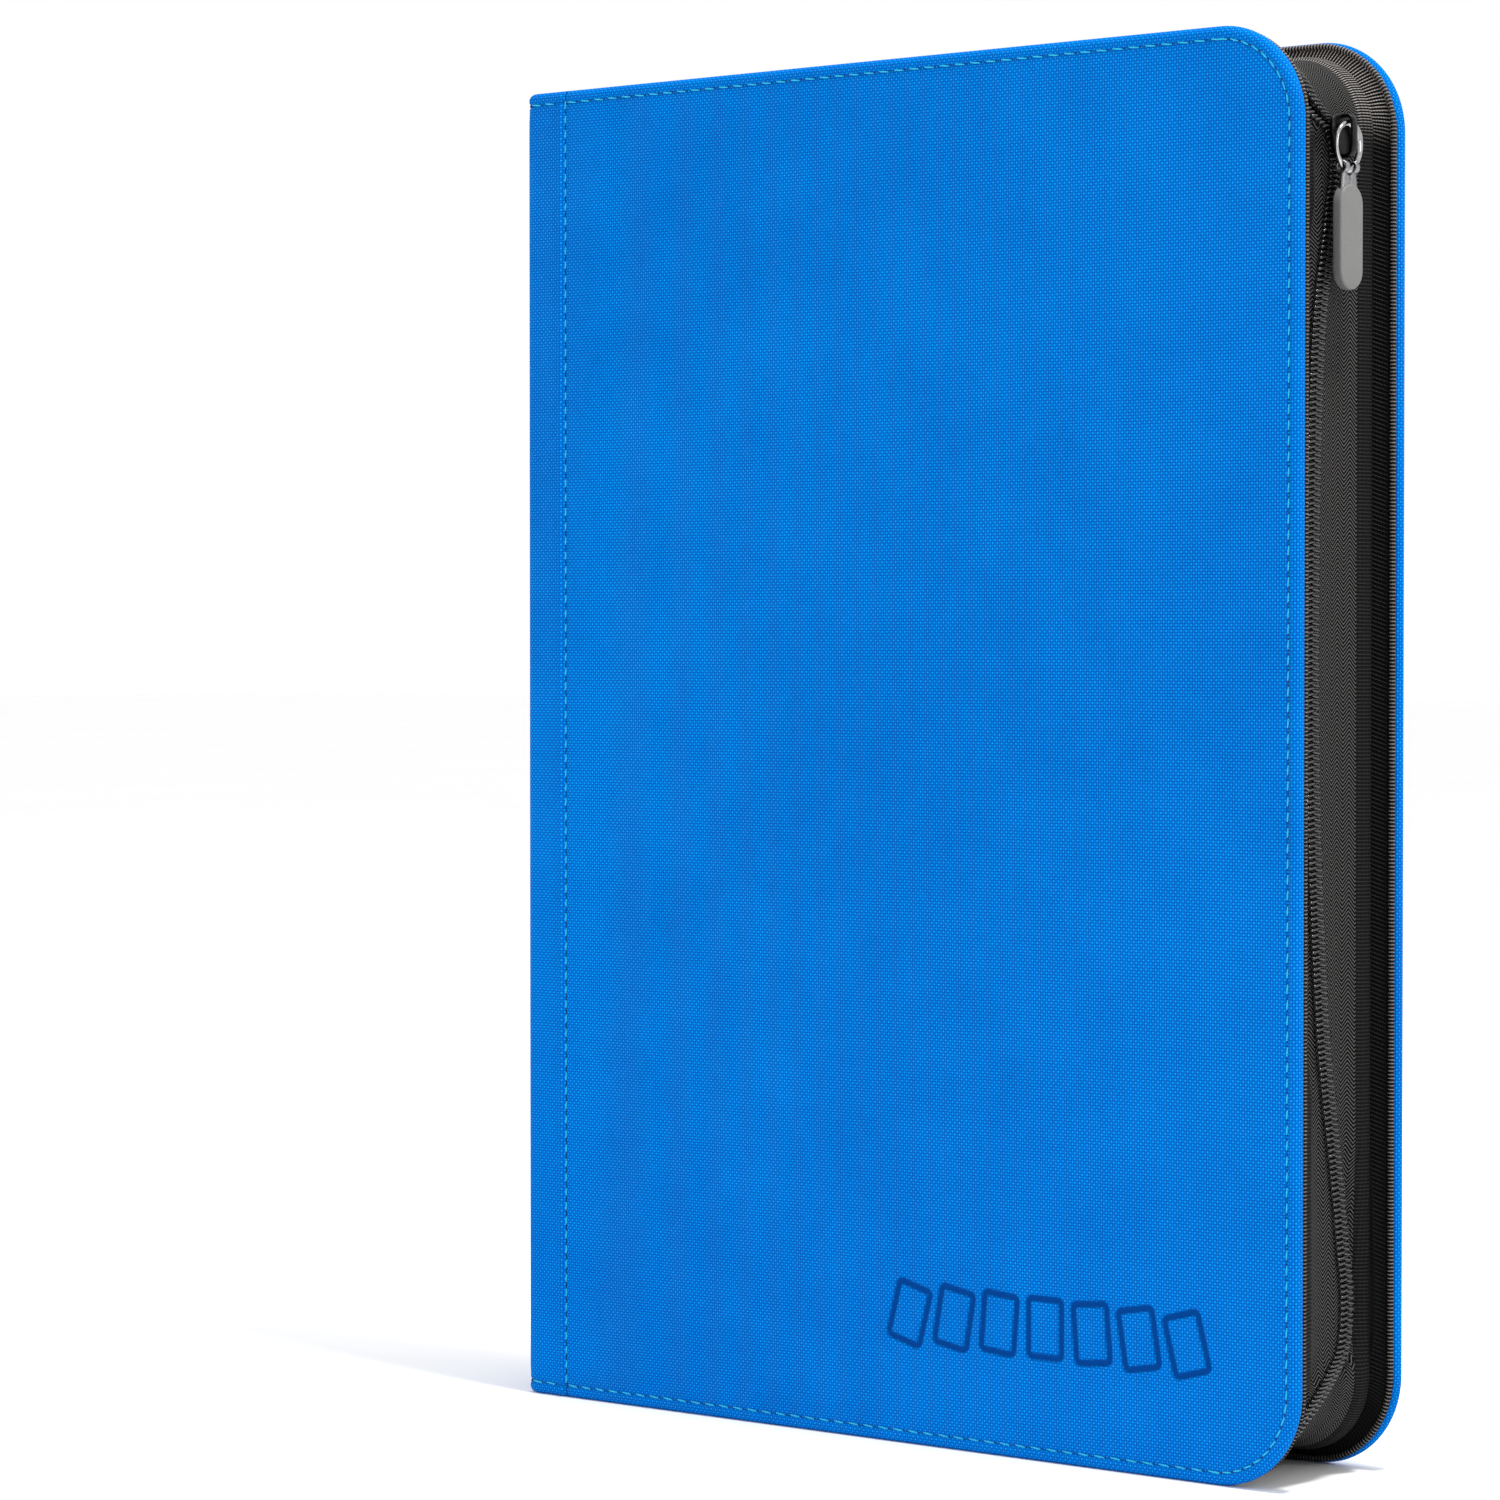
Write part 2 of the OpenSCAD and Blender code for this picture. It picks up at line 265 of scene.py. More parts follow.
def smoothThrough(controls, steps):
    # a smooth line through control points (rows, controls, numbers), by the Catmull-Rom formula
    before = 2 * controls[:, :1] - controls[:, 1:2]
    after = 2 * controls[:, -1:] - controls[:, -2:-1]
    padded = np.concatenate([before, controls, after], 1)
    place = np.linspace(0, controls.shape[1] - 1, steps)
    span = np.minimum(place.astype(int), controls.shape[1] - 2)
    t = (place - span)[None, :, None]
    a, b, c, d = (padded[:, span + k] for k in range(4))
    return 0.5 * (2 * b + (c - a) * t + (2 * a - 5 * b + 4 * c - d) * t ** 2 + (3 * b - a - 3 * c + d) * t ** 3)


class Flow:
    # a socket on its way through a material; arithmetic on it adds Math nodes
    def __init__(self, tree, socket):
        self.tree, self.socket = tree, socket

    def node(self, kind, settings=None, values=None, give=0):
        # a new node with its settings and its inputs' values, as a flow from the output that it gives
        made = self.tree.nodes.new(kind)
        for key, value in (settings or {}).items():
            setattr(made, key, value)
        for key, value in (values or {}).items():
            if isinstance(value, Flow):
                self.tree.links.new(value.socket, made.inputs[key])
            else:
                made.inputs[key].default_value = value
        return Flow(self.tree, made.outputs[give])

    def maths(self, how, *others):
        # a Math node with this as its first input
        values = {0: self}
        values.update({k + 1: other for k, other in enumerate(others)})
        return self.node("ShaderNodeMath", {"operation": how}, values)

    def __add__(self, other):
        return self.maths("ADD", other)

    def __sub__(self, other):
        return self.maths("SUBTRACT", other)

    def __mul__(self, other):
        return self.maths("MULTIPLY", other)

    def __radd__(self, other):
        return self + other

    def __rmul__(self, other):
        return self * other

    def __rsub__(self, other):
        return self.node("ShaderNodeMath", {"operation": "SUBTRACT"}, {0: other, 1: self})

    def sine(self):
        return self.maths("SINE")

    def size(self):
        return self.maths("ABSOLUTE")

    def rise(self, low, high):
        # 0 below low, 1 above high, smooth between
        return self.node("ShaderNodeMapRange", {"interpolation_type": "SMOOTHSTEP"},
                         {"Value": self, "From Min": low, "From Max": high})

    def blend(self, first, second):
        # colour: first where this is 0, second where it is 1
        return self.node("ShaderNodeMix", {"data_type": "RGBA"}, {0: self, 6: first, 7: second}, 2)


def newFinish(name, **fixed):
    # a material, its shader, and its Object and UV places; fixed are plain values on the shader's sockets
    made = bpy.data.materials.new(name)
    made.use_nodes = True
    tree = made.node_tree
    shader = next(n for n in tree.nodes if n.type == "BSDF_PRINCIPLED")
    for key, value in fixed.items():
        shader.inputs[key.replace("_", " ")].default_value = value
    here = tree.nodes.new("ShaderNodeTexCoord")
    return made, shader, Flow(tree, here.outputs["Object"]), Flow(tree, here.outputs["UV"])


def split(flow):
    # the three numbers of a vector
    made = flow.node("ShaderNodeSeparateXYZ", values={0: flow})
    return [Flow(made.tree, socket) for socket in made.socket.node.outputs]


def noise(place, scale, detail=2.0, rough=0.5):
    # cloudy noise about one half
    return place.node("ShaderNodeTexNoise", {"noise_dimensions": "3D"},
                      {"Vector": place, "Scale": scale, "Detail": detail, "Roughness": rough})


def join(shader, key, flow):
    # the flow drives one of the shader's sockets
    flow.tree.links.new(flow.socket, shader.inputs[key])


def bump(shader, height, distance, strength):
    # relief of a real distance where the height goes from 0 to 1
    values = {"Height": height, "Distance": distance, "Strength": strength}
    join(shader, "Normal", height.node("ShaderNodeBump", values=values))


def pressedMark(place):
    # the mesh's own mark: 1 where the cloth or film is pressed down
    return place.node("ShaderNodeAttribute", {"attribute_name": "pressed"}, give="Fac")


def rgb(r, g, b):
    # a solid colour from its three parts
    return (r, g, b, 1.0)


weave = {"pitch": 0.68 * mm, "wander": 1.2, "relief": 0.18 * mm, "sharp": 0.9, "rough": 0.78, "polish": 0.14,
         "shine": 0.03, "crownShare": 0.4, "flatten": 0.8,
         "clouds": ((9.0, 4.0, 0.6, 0.5), (45.0, 3.0, 0.6, 0.35), (420.0, 1.0, 0.5, 0.15)),
         "deep": (rgb(0.0, 0.070, 0.35), rgb(0.0, 0.092, 0.42)),
         "plain": (rgb(0.0, 0.135, 0.53), rgb(0.0, 0.165, 0.61)),
         "crown": (rgb(0.0, 0.29, 0.80), rgb(0.002, 0.37, 0.92)),
         "pressed": rgb(0.0, 0.048, 0.24)}


def blueCloth(name, stamped=False):
    # plain weave: sin(pi a) sin(pi b) over yarn counts a and b is positive on one set of yarn crossings and negative
    # on the other; clouds are scale, detail, roughness and share of the noises that vary the colour
    made, shader, here, spots = newFinish(name, Roughness=weave["rough"], Specular_IOR_Level=weave["shine"])
    a, b, _ = split(spots)
    wander = (noise(here, 60.0) - 0.5) * weave["wander"]
    crossing = (a * (pi / weave["pitch"]) + wander).sine() * (b * (pi / weave["pitch"]) - wander).sine()
    crown = crossing.rise(0.2, 0.95)
    body = crossing.size().rise(0.0, 0.5)
    layers = [noise(here, *settings) * share for *settings, share in weave["clouds"]]
    tone = (layers[0] + layers[1] + layers[2]).rise(0.32, 0.68)
    deep, plain, top = (tone.blend(*weave[key]) for key in ("deep", "plain", "crown"))
    colour = crown.blend(body.blend(deep, plain), top)
    height = crossing.size() * (1 - weave["crownShare"]) + crown * weave["crownShare"]
    if stamped:
        pressed = pressedMark(here)
        colour = pressed.blend(colour, weave["pressed"])
        height = height * (1 - pressed * weave["flatten"])
    join(shader, "Base Color", colour)
    join(shader, "Roughness", weave["rough"] - crown * weave["polish"])
    bump(shader, height, weave["relief"], weave["sharp"])
    return made


# the last two keys set where the painted light on the rib tops fades out past the top corner's end
ribLook = {"wander": 1.5, "ribs": (-0.1, 0.95), "yarns": (-0.6, 0.7), "yarnShare": 0.45, "crownShare": 0.4,
           "dull": 0.2, "polish": 0.22, "sharp": 0.9, "paintedLightBefore": 8 * mm, "paintedLightPast": 4 * mm}


def ribbedCloth(name, rib, yarn, low, high, relief, slant=0.0, gloss=0.5, shine=0.2, paintedTopLight=None):
    # sines across the length for ribs and along it for finer yarns; slant turns the ribs into a twill;
    # the last colour, when given, is painted light: rib tops paler along the top edge and round its corner, where
    # light from above falls
    made, shader, here, spots = newFinish(name, Roughness=gloss, Specular_IOR_Level=shine)
    a, b, _ = split(spots)
    wander = noise(here, 90.0) - 0.5
    ribs = ((a + b * slant) * (2 * pi / rib) + wander * ribLook["wander"]).sine().rise(*ribLook["ribs"])
    yarns = (b * (2 * pi / yarn) + wander).sine().rise(*ribLook["yarns"])
    crowns = ribs * (1 - ribLook["yarnShare"] + ribLook["yarnShare"] * yarns)
    top = high
    # painted light: paler rib tops along the top edge and round the top corner, fading out just past the corner's end
    if paintedTopLight:
        cornerEnd = freeX - cornerR - zipX + pi / 2 * cornerR
        top = a.rise(cornerEnd - ribLook["paintedLightBefore"], cornerEnd + ribLook["paintedLightPast"]).blend(paintedTopLight, high)
    join(shader, "Base Color", crowns.blend(low, top))
    join(shader, "Roughness", gloss + ribLook["dull"] - crowns * ribLook["polish"])
    bump(shader, ribs * (1 - ribLook["crownShare"]) + crowns * ribLook["crownShare"], relief, ribLook["sharp"])
    return made


def herringbone(name, low, high, stripe=1.8 * mm, rib=0.95 * mm, fine=0.45 * mm, relief=0.25 * mm):
    # diagonal ribs that change hand from stripe to stripe: the arc sine of a sine is the zigzag that shifts them,
    # and the sine's sign sets neighbouring stripes a little apart
    made, shader, _, spots = newFinish(name, Roughness=0.65, Specular_IOR_Level=0.05)
    a, b, _ = split(spots)
    swing = (b * (pi / stripe)).sine()
    zigzag = swing.maths("ARCSINE") * (stripe / pi)
    ribs = ((a + zigzag * 1.1) * (2 * pi / rib) + swing.maths("SIGN") * 0.2).sine()
    yarns = (a * (2 * pi / fine)).sine()
    crowns = ribs.rise(-0.1, 1.0) * (0.8 + 0.2 * yarns)
    join(shader, "Base Color", crowns.blend(low, high))
    bump(shader, crowns, relief, 0.9)
    return made


def plainFinish(name, colour, other, scale=400.0, relief=0.02 * mm, rough=(0.3, 0.4), **fixed):
    # a fine speckle of colour, gloss and relief for moulded and metal pieces
    made, shader, here, _ = newFinish(name, **fixed)
    grain = noise(here, scale, 3.0, 0.6)
    speck = grain.rise(0.35, 0.65)
    join(shader, "Base Color", speck.blend(colour, other))
    join(shader, "Roughness", speck * (rough[1] - rough[0]) + rough[0])
    bump(shader, grain, relief, 0.6)
    return made


blueFabric = blueCloth("blueOxford")
blueStamped = blueCloth("blueOxfordStamped", stamped=True)
threadBlue = ribbedCloth("cyanThread", rib=0.5 * mm, yarn=0.3 * mm, relief=0.05 * mm, slant=1.0,
                         low=rgb(0.01, 0.40, 0.72), high=rgb(0.07, 0.72, 0.92))
# painted shade: the gusset's low and high colours are darker than black nylon, for the shade deep in the wall between
# the covers
# the gusset's last colour, rgb 0.50, is painted light on its rib tops along the top edge and round the top corner
gussetCloth = ribbedCloth("gussetRib", rib=1.0 * mm, yarn=0.62 * mm, relief=0.5 * mm, slant=0.35, gloss=0.42,
                          shine=0.08, low=rgb(0.0006, 0.0006, 0.0007), high=rgb(0.0075, 0.0073, 0.0072),
                          paintedTopLight=rgb(0.50, 0.46, 0.43))
endCloth = ribbedCloth("spineEndRib", rib=1.0 * mm, yarn=0.62 * mm, relief=0.4 * mm, slant=0.35, shine=0.15,
                       low=rgb(0.001, 0.001, 0.0011), high=rgb(0.035, 0.034, 0.033))
pipingCloth = ribbedCloth("pipingRib", rib=0.84 * mm, yarn=0.5 * mm, relief=0.22 * mm, shine=0.10,
                          low=rgb(0.003, 0.003, 0.003), high=rgb(0.29, 0.265, 0.25))
# the band's last colour, rgb 0.34, is painted light on its rib tops along the top edge and round the top corner
bandCloth = ribbedCloth("bandRib", rib=0.84 * mm, yarn=1.1 * mm, relief=0.35 * mm, shine=0.10,
                        low=rgb(0.001, 0.001, 0.0011), high=rgb(0.020, 0.0195, 0.019), paintedTopLight=rgb(0.34, 0.32, 0.30))
liningCloth = ribbedCloth("liningWeave", rib=0.5 * mm, yarn=0.5 * mm, relief=0.06 * mm,
                          low=rgb(0.008, 0.008, 0.009), high=rgb(0.03, 0.03, 0.031))
tapeCloth = herringbone("zipperHerringbone", rgb(0.001, 0.001, 0.0011), rgb(0.125, 0.122, 0.120))
# painted shade: dark blue for the needle holes at the stitch ends
paintedHoleShade = plainFinish("paintedHoleShade", rgb(0.0, 0.02, 0.12), rgb(0.0, 0.03, 0.16), rough=(0.8, 0.9))
coilNylon = plainFinish("coilNylon", rgb(0.010, 0.010, 0.011), rgb(0.018, 0.018, 0.019), 900.0, 0.01 * mm,
                        (0.16, 0.26), Coat_Weight=0.3)
gunmetal = plainFinish("gunmetal", rgb(0.014, 0.014, 0.015), rgb(0.026, 0.026, 0.028), 1500.0, 0.01 * mm,
                       (0.28, 0.4), Metallic=1.0)
chrome = plainFinish("chrome", rgb(0.36, 0.36, 0.37), rgb(0.46, 0.46, 0.47), 700.0, 0.01 * mm,
                     (0.10, 0.18), Metallic=1.0)
satinSteel = plainFinish("satinSteel", rgb(0.24, 0.24, 0.25), rgb(0.31, 0.31, 0.32), 1200.0, 0.02 * mm,
                         (0.32, 0.45), Metallic=1.0)
greyRubber = plainFinish("greyRubber", rgb(0.132, 0.135, 0.130), rgb(0.158, 0.161, 0.155), 2200.0, 0.03 * mm,
                         (0.5, 0.62))
print("finishes made")

view = {"at": (712.0, -911.4, 188.3), "yaw": 40.273, "pitch": -1.276, "lens": 116.34, "sensor": 36.0, "far": 50.0}
cameraData = bpy.data.cameras.new("camera")
cameraData.lens, cameraData.sensor_width = view["lens"], view["sensor"]
cameraData.clip_end = view["far"]
cameraObject = bpy.data.objects.new("camera", cameraData)
cameraObject.location = [value * mm for value in view["at"]]
cameraObject.rotation_euler = (np.radians(90 + view["pitch"]), 0, np.radians(view["yaw"]))
bpy.context.scene.collection.objects.link(cameraObject)
bpy.context.scene.camera = cameraObject
bpy.context.scene.view_settings.view_transform = "Standard"

room = {"floor": (rgb(0.985, 0.985, 0.985), rgb(0.995, 0.995, 0.995)), "reach": 12.0, "world": 1.0}
floorMade, floorShader, floorHere, _ = newFinish("paleFloor", Roughness=0.6, Specular_IOR_Level=0.2)
join(floorShader, "Base Color", noise(floorHere, 3.0).rise(0.3, 0.7).blend(*room["floor"]))
reach = room["reach"]
floorMesh = bpy.data.meshes.new("floor")
floorMesh.from_pydata([(-reach, -reach, 0), (reach, -reach, 0), (reach, reach, 0), (-reach, reach, 0)],
                      [], [(0, 1, 2, 3)])
floorMesh.materials.append(floorMade)
floorObject = bpy.data.objects.new("floor", floorMesh)
bpy.context.scene.collection.objects.link(floorObject)

world = bpy.data.worlds.new("studio")
bpy.context.scene.world = world
world.use_nodes = True
background = next(n for n in world.node_tree.nodes if n.type == "BACKGROUND")
background.inputs["Color"].default_value = rgb(1.0, 1.0, 1.0)
background.inputs["Strength"].default_value = room["world"]

lamps = [  # name, place, aimed at, size, watts
    ("keyLamp", (-0.5, -1.7, 1.2), (0, 0, 0.15), 1.0, 1.6),
    ("sideLamp", (1.4, 0.35, 0.55), (0.1, 0, 0.16), 0.25, 2.6),
    ("topLamp", (0.38, -0.05, 1.3), (0.1, 0, 0.28), 0.16, 13.0),
]
for name, place, aim, size, watts in lamps:
    lampData = bpy.data.lights.new(name, "AREA")
    lampData.size, lampData.energy = size, watts
    lamp = bpy.data.objects.new(name, lampData)
    lamp.location = place
    direction = np.array(aim) - np.array(place)
    flatLength = np.hypot(direction[0], direction[1])
    lamp.rotation_euler = (np.arctan2(flatLength, -direction[2]), 0, np.arctan2(-direction[0], direction[1]))
    bpy.context.scene.collection.objects.link(lamp)
print("camera, floor and lights made")

coverLook = {"step": 1.1 * mm, "groove": 0.5 * mm, "grooveIn": 3.0 * mm, "grooveWide": 0.5 * mm,
             "hollow": 0.10 * mm, "hollowIn": 4.6 * mm, "hollowWide": 1.6 * mm,
             "seamDeep": 0.5 * mm, "seamWide": 0.7 * mm, "panelStep": 6 * mm, "backStep": 4 * mm,
             "stampStep": 0.36 * mm, "stampWide": 121 * mm, "stampTop": 44 * mm, "stampDeep": 0.4 * mm}


def gauss(distance, width):
    # 1 at no distance, falling as e to the minus square of distance over width
    return np.exp(-(distance / width) ** 2)


def rimProfile():
    # depth from the edge and distance below the outer face: a half circle for the rolled rim, a groove under the
    # stitches, then a slow rise to the flat face; the third row is the length of cloth, down to and past the edge
    turnedIn = np.array([9, 6, 3.6, 2.4]) * mm
    turn = np.linspace(-pi / 2, pi / 2, 15)
    face = np.concatenate([np.arange(2.0, 4.6, 0.2) * mm, np.array([5, 6, 8, 11, 15, 19]) * mm, [cornerR]])
    r = coverT / 2
    depth = np.concatenate([turnedIn, r - r * np.cos(turn), face])
    below = np.concatenate([np.full(len(turnedIn), coverT), r - r * np.sin(turn), np.zeros(len(face))])
    outer = np.arange(len(depth)) >= len(turnedIn) + len(turn) - 3
    below = below + outer * (coverLook["groove"] * gauss(depth - coverLook["grooveIn"], coverLook["grooveWide"])
                             + coverLook["hollow"] * gauss(depth - coverLook["hollowIn"], coverLook["hollowWide"]))
    length = lengths(pack(depth, below))
    return depth, below, length - length[-1] + depth[-1]


rimDepth, rimBelow, rimCloth = rimProfile()

motif = {"cards": 7, "right": freeX - 25 * mm, "low": 24.2 * mm, "wide": 9.4 * mm, "high": 13.4 * mm,
         "space": 13.2 * mm, "line": 0.8 * mm, "round": 1.1 * mm, "turn": -5.0, "soft": 0.35 * mm}


def motifMark(x, z):
    # a fanned row of plain card outlines, each turned a little further: 1 on a line, 0 off it, by the distance to
    # each round-cornered outline
    mark = np.zeros_like(x)
    cz, r = motif["low"] + motif["high"] / 2, motif["round"]
    for k in range(motif["cards"]):
        cx = motif["right"] - motif["wide"] / 2 - k * motif["space"]
        turned = np.radians(motif["turn"] * (k - (motif["cards"] - 1) / 2))
        qx = np.abs((x - cx) * np.cos(turned) + (z - cz) * np.sin(turned)) - motif["wide"] / 2 + r
        qz = np.abs((z - cz) * np.cos(turned) - (x - cx) * np.sin(turned)) - motif["high"] / 2 + r
        away = np.hypot(np.maximum(qx, 0), np.maximum(qz, 0)) + np.minimum(np.maximum(qx, qz), 0) - r
        mark = np.maximum(mark, np.clip((motif["line"] - np.abs(away)) / motif["soft"] + 0.5, 0, 1))
    return mark


def seamDip(x):
    # how far the cloth is drawn in beside the seam
    return coverLook["seamDeep"] * gauss(x - seamX, coverLook["seamWide"])


def coverShell(side):
    # the cover's edge band, rim profile by distance along the edge, then flat panels inside it, one of them fine
    # enough for the stamp
    total = edgeLength(seamX)
    along = np.linspace(0, total, int(total / coverLook["step"]))
    x, z, _, _ = edgeLine(along[:, None], rimDepth[None, :], seamX)
    y = side * (outerY - rimBelow[None, :] - seamDip(x) * (rimBelow[None, :] < coverT / 2))
    cx, cz, _, _ = edgeLine(along[:, None], rimCloth[None, :], seamX)
    band = gridPart(pack(x, y, z), pack(cx, cz))
    parts, marks = [band], [np.zeros(len(band[0]))]
    coreX, low, high = freeX - cornerR, cornerR, tall - cornerR
    stampX, stampZ = freeX - coverLook["stampWide"], coverLook["stampTop"]
    nearSeam = np.concatenate([np.arange(0, 2.2, 0.25), [3, 5, 8]]) * mm + seamX
    for x0, x1, z0, z1, step in ((seamX, stampX, low, high, coverLook["panelStep"]),
                                 (stampX, coreX, stampZ, high, coverLook["panelStep"]),
                                 (stampX, coreX, low, stampZ, coverLook["stampStep" if side < 0 else "backStep"])):
        if x0 == seamX:
            xs = np.concatenate([nearSeam, np.linspace(seamX + 14 * mm, x1, 14)])
        else:
            xs = np.linspace(x0, x1, max(int((x1 - x0) / step), 2))
        zs = np.linspace(z0, z1, max(int((z1 - z0) / step), 2))
        gx, gz = np.meshgrid(xs, zs, indexing="ij")
        mark = motifMark(gx, gz) if side < 0 else np.zeros_like(gx)
        gy = side * (outerY - mark * coverLook["stampDeep"] - seamDip(gx))
        parts.append(gridPart(pack(gx, gy, gz), pack(gx, gz)))
        marks.append(mark.ravel())
    return parts, np.concatenate(marks)


for half, side in sides.items():
    parts, marks = coverShell(side)
    shell = makePiece(half + "CoverShell", parts, [blueStamped], half + "_half",
                      (half + "_cover", half + "_board"), marks=marks, weld=False)

# the blue spine is in two halves
spineLook = {"crease": 0.45 * mm, "creaseIn": 1.3 * mm, "creaseWide": 0.55 * mm,
             "seamDeep": 0.35 * mm, "seamWide": 0.5 * mm, "rows": 60, "bendBefore": 2 * mm, "bendPast": 3 * mm,
             "liningUnder": 0.6 * mm, "liningBefore": 5 * mm, "liningPast": 1 * mm, "liningEnd": 5 * mm}


def spineSection(reach):
    # distance round the spine from its middle line, to x, y and outward normal of the back half: straight, a quarter
    # round, straight
    wall = outerY - spineR
    turn = np.clip(reach - wall, 0, pi / 2 * spineR) / spineR
    x = spineX + spineR - spineR * np.cos(turn) + np.maximum(reach - wall - pi / 2 * spineR, 0)
    y = np.minimum(reach, wall) + spineR * np.sin(turn)
    return x, y, -np.cos(turn), np.sin(turn)


spineReach = outerY - spineR + pi / 2 * spineR + (seamX - spineX - spineR)


def bendWith(made):
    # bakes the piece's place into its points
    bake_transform(made)


def spineSheet(reach, heights, below, spots, side, finish):
    # the spine's section at each reach, carried up through the heights and drawn in along its normal
    x, y, nx, ny = (v[:, None] for v in spineSection(reach))
    points = pack(x - nx * below, side * (y - ny * below), heights[None, :])
    return gridPart(points, pack(*spots), finish=finish)


def spineWrap(half, side):
    # the blue sheet is drawn in by the rim profile at both ends, with a raised fold beside the seam that fades round
    # the rims; inside it the black lining is carried on round the hinge
    reach = np.concatenate([np.linspace(0, spineReach - 4 * mm, 42),
                            np.linspace(spineReach - 3.7 * mm, spineReach, 16)])
    inner = np.linspace(rimDepth[-1], tall - rimDepth[-1], spineLook["rows"])[1:-1]
    heights = np.concatenate([rimDepth, inner, tall - rimDepth[::-1]])
    below = np.concatenate([rimBelow, np.zeros(len(inner)), rimBelow[::-1]])[None, :]
    cloth = np.concatenate([rimCloth, inner, tall - rimCloth[::-1]])
    fold = (spineLook["crease"] * gauss(reach - spineReach + spineLook["creaseIn"], spineLook["creaseWide"])
            - spineLook["seamDeep"] * gauss(reach - spineReach, spineLook["seamWide"]))
    below = below - fold[:, None] * np.clip(1 - below / (coverT / 2), 0, 1)
    blue = spineSheet(reach, heights, below, ((reach - spineReach + seamX)[:, None], cloth[None, :]), side, 0)
    hidden = np.linspace(innerY - spineLook["liningBefore"], spineReach + spineLook["liningPast"], 24)
    rows = np.linspace(spineLook["liningEnd"], tall - spineLook["liningEnd"], spineLook["rows"])
    black = spineSheet(hidden, rows, coverT - spineLook["liningUnder"], (hidden[:, None], rows[None, :]), side, 1)
    made = makePiece(half + "SpineWrap", [blue, black], [blueFabric, liningCloth], None,
                     ("spine_cover", "spine_board") if side < 0 else (), weld=False)
    bendWith(made)
    return made


for half, side in sides.items():
    wrap = spineWrap(half, side)
print("blue fabric made")

stitchLook = {"endPitch": 4.5 * mm, "sidePitch": 3.45 * mm, "seamPitch": 3.6 * mm,
              "endHalf": 1.45 * mm, "sideHalf": 1.1 * mm, "seamHalf": 1.0 * mm,
              "endStart": 2.2 * mm, "sideStart": 1.5 * mm, "seamFoot": 4.6 * mm, "seamHead": 3 * mm,
              "seamPast": 0.1 * mm, "spineStart": 2.0 * mm, "spineStop": 1 * mm,
              "threadR": 0.25 * mm, "lift": 0.12 * mm, "slant": 0.10,
              "holePast": 0.18 * mm, "holeDeep": 0.28 * mm, "holeHalf": 0.36 * mm, "holeR": 0.33 * mm}


def rowOfStitches(centre, along, out, halfLong):
    # one thread per stitch, turned a little from its line, with a dark bead sunk at each end as painted shade of the
    # needle hole
    many = len(centre)
    tilt = unit(along + stitchLook["slant"] * np.cross(along, out))
    thread = bead(centre + out * stitchLook["lift"], tilt, out, np.full(many, halfLong),
                  np.full(many, stitchLook["threadR"]))
    away = along * (halfLong + stitchLook["holePast"])
    both, outs = np.concatenate([along, along]), np.concatenate([out, out])
    ends = np.concatenate([centre - away, centre + away]) + outs * (stitchLook["lift"] - stitchLook["holeDeep"])
    holes = bead(ends, both, outs, np.full(2 * many, stitchLook["holeHalf"]),
                 np.full(2 * many, stitchLook["holeR"]), 1, 4)
    return [thread, holes]


def coverStitches(half, side):
    # stitches in the rim's groove round three edges, wider along top and bottom, and a straight row beside the seam
    total = edgeLength(seamX)
    flat = freeX - cornerR - seamX
    first = np.arange(stitchLook["endStart"], flat, stitchLook["endPitch"])
    middle = np.arange(flat + stitchLook["sideStart"], total - flat, stitchLook["sidePitch"])
    along = np.concatenate([first, middle, total - first[::-1]])
    onEnds = (along < flat) | (along > total - flat)
    x, z, nx, nz = edgeLine(along, coverLook["grooveIn"], seamX)
    centre = pack(x, side * (outerY - coverLook["groove"]), z)
    run = pack(nz, 0, -nx)
    out = copies((0, side, 0), len(along))
    parts = []
    for chosen, length in ((onEnds, stitchLook["endHalf"]), (~onEnds, stitchLook["sideHalf"])):
        parts += rowOfStitches(centre[chosen], run[chosen], out[chosen], length)
    z = np.arange(stitchLook["seamFoot"], tall - stitchLook["seamHead"], stitchLook["seamPitch"])
    centre = pack(seamX + stitchLook["seamPast"], side * (outerY - coverLook["seamDeep"]), z)
    parts += rowOfStitches(centre, copies((0, 0, 1), len(z)), copies((0, side, 0), len(z)), stitchLook["seamHalf"])
    makePiece(half + "CoverStitches", parts, [threadBlue, paintedHoleShade], half + "_half", weld=False)


def spineStitches(half, side):
    # the same groove's stitches carried on round the spine's two ends
    reach = np.arange(stitchLook["spineStart"], spineReach - stitchLook["spineStop"], stitchLook["endPitch"])
    x, y, nx, ny = spineSection(reach)
    out = pack(nx, side * ny, 0)
    run = pack(ny, side * -nx, 0)
    parts = []
    for z in (coverLook["grooveIn"], tall - coverLook["grooveIn"]):
        centre = pack(x, side * y, z) - out * coverLook["groove"]
        parts += rowOfStitches(centre, run, out, stitchLook["endHalf"])
    made = makePiece(half + "SpineStitches", parts, [threadBlue, paintedHoleShade], None, weld=False)
    bendWith(made)


for half, side in sides.items():
    coverStitches(half, side)
    spineStitches(half, side)
print("stitches made")

zipLook = {"binding": 1.15 * mm, "bindingR": 0.72 * mm, "bindingY": 0.75 * mm, "rib": 0.84 * mm, "swell": 0.16,
           "coilPitch": 1.25 * mm, "wireR": 0.3 * mm, "loopY": 1.45 * mm, "loopD": 0.52 * mm, "mesh": 0.25 * mm,
           "coilEnd": 5 * mm, "windingSteps": 12, "stopTall": 1.6 * mm, "stopDeep": 3 * mm, "stopR": 0.7 * mm}

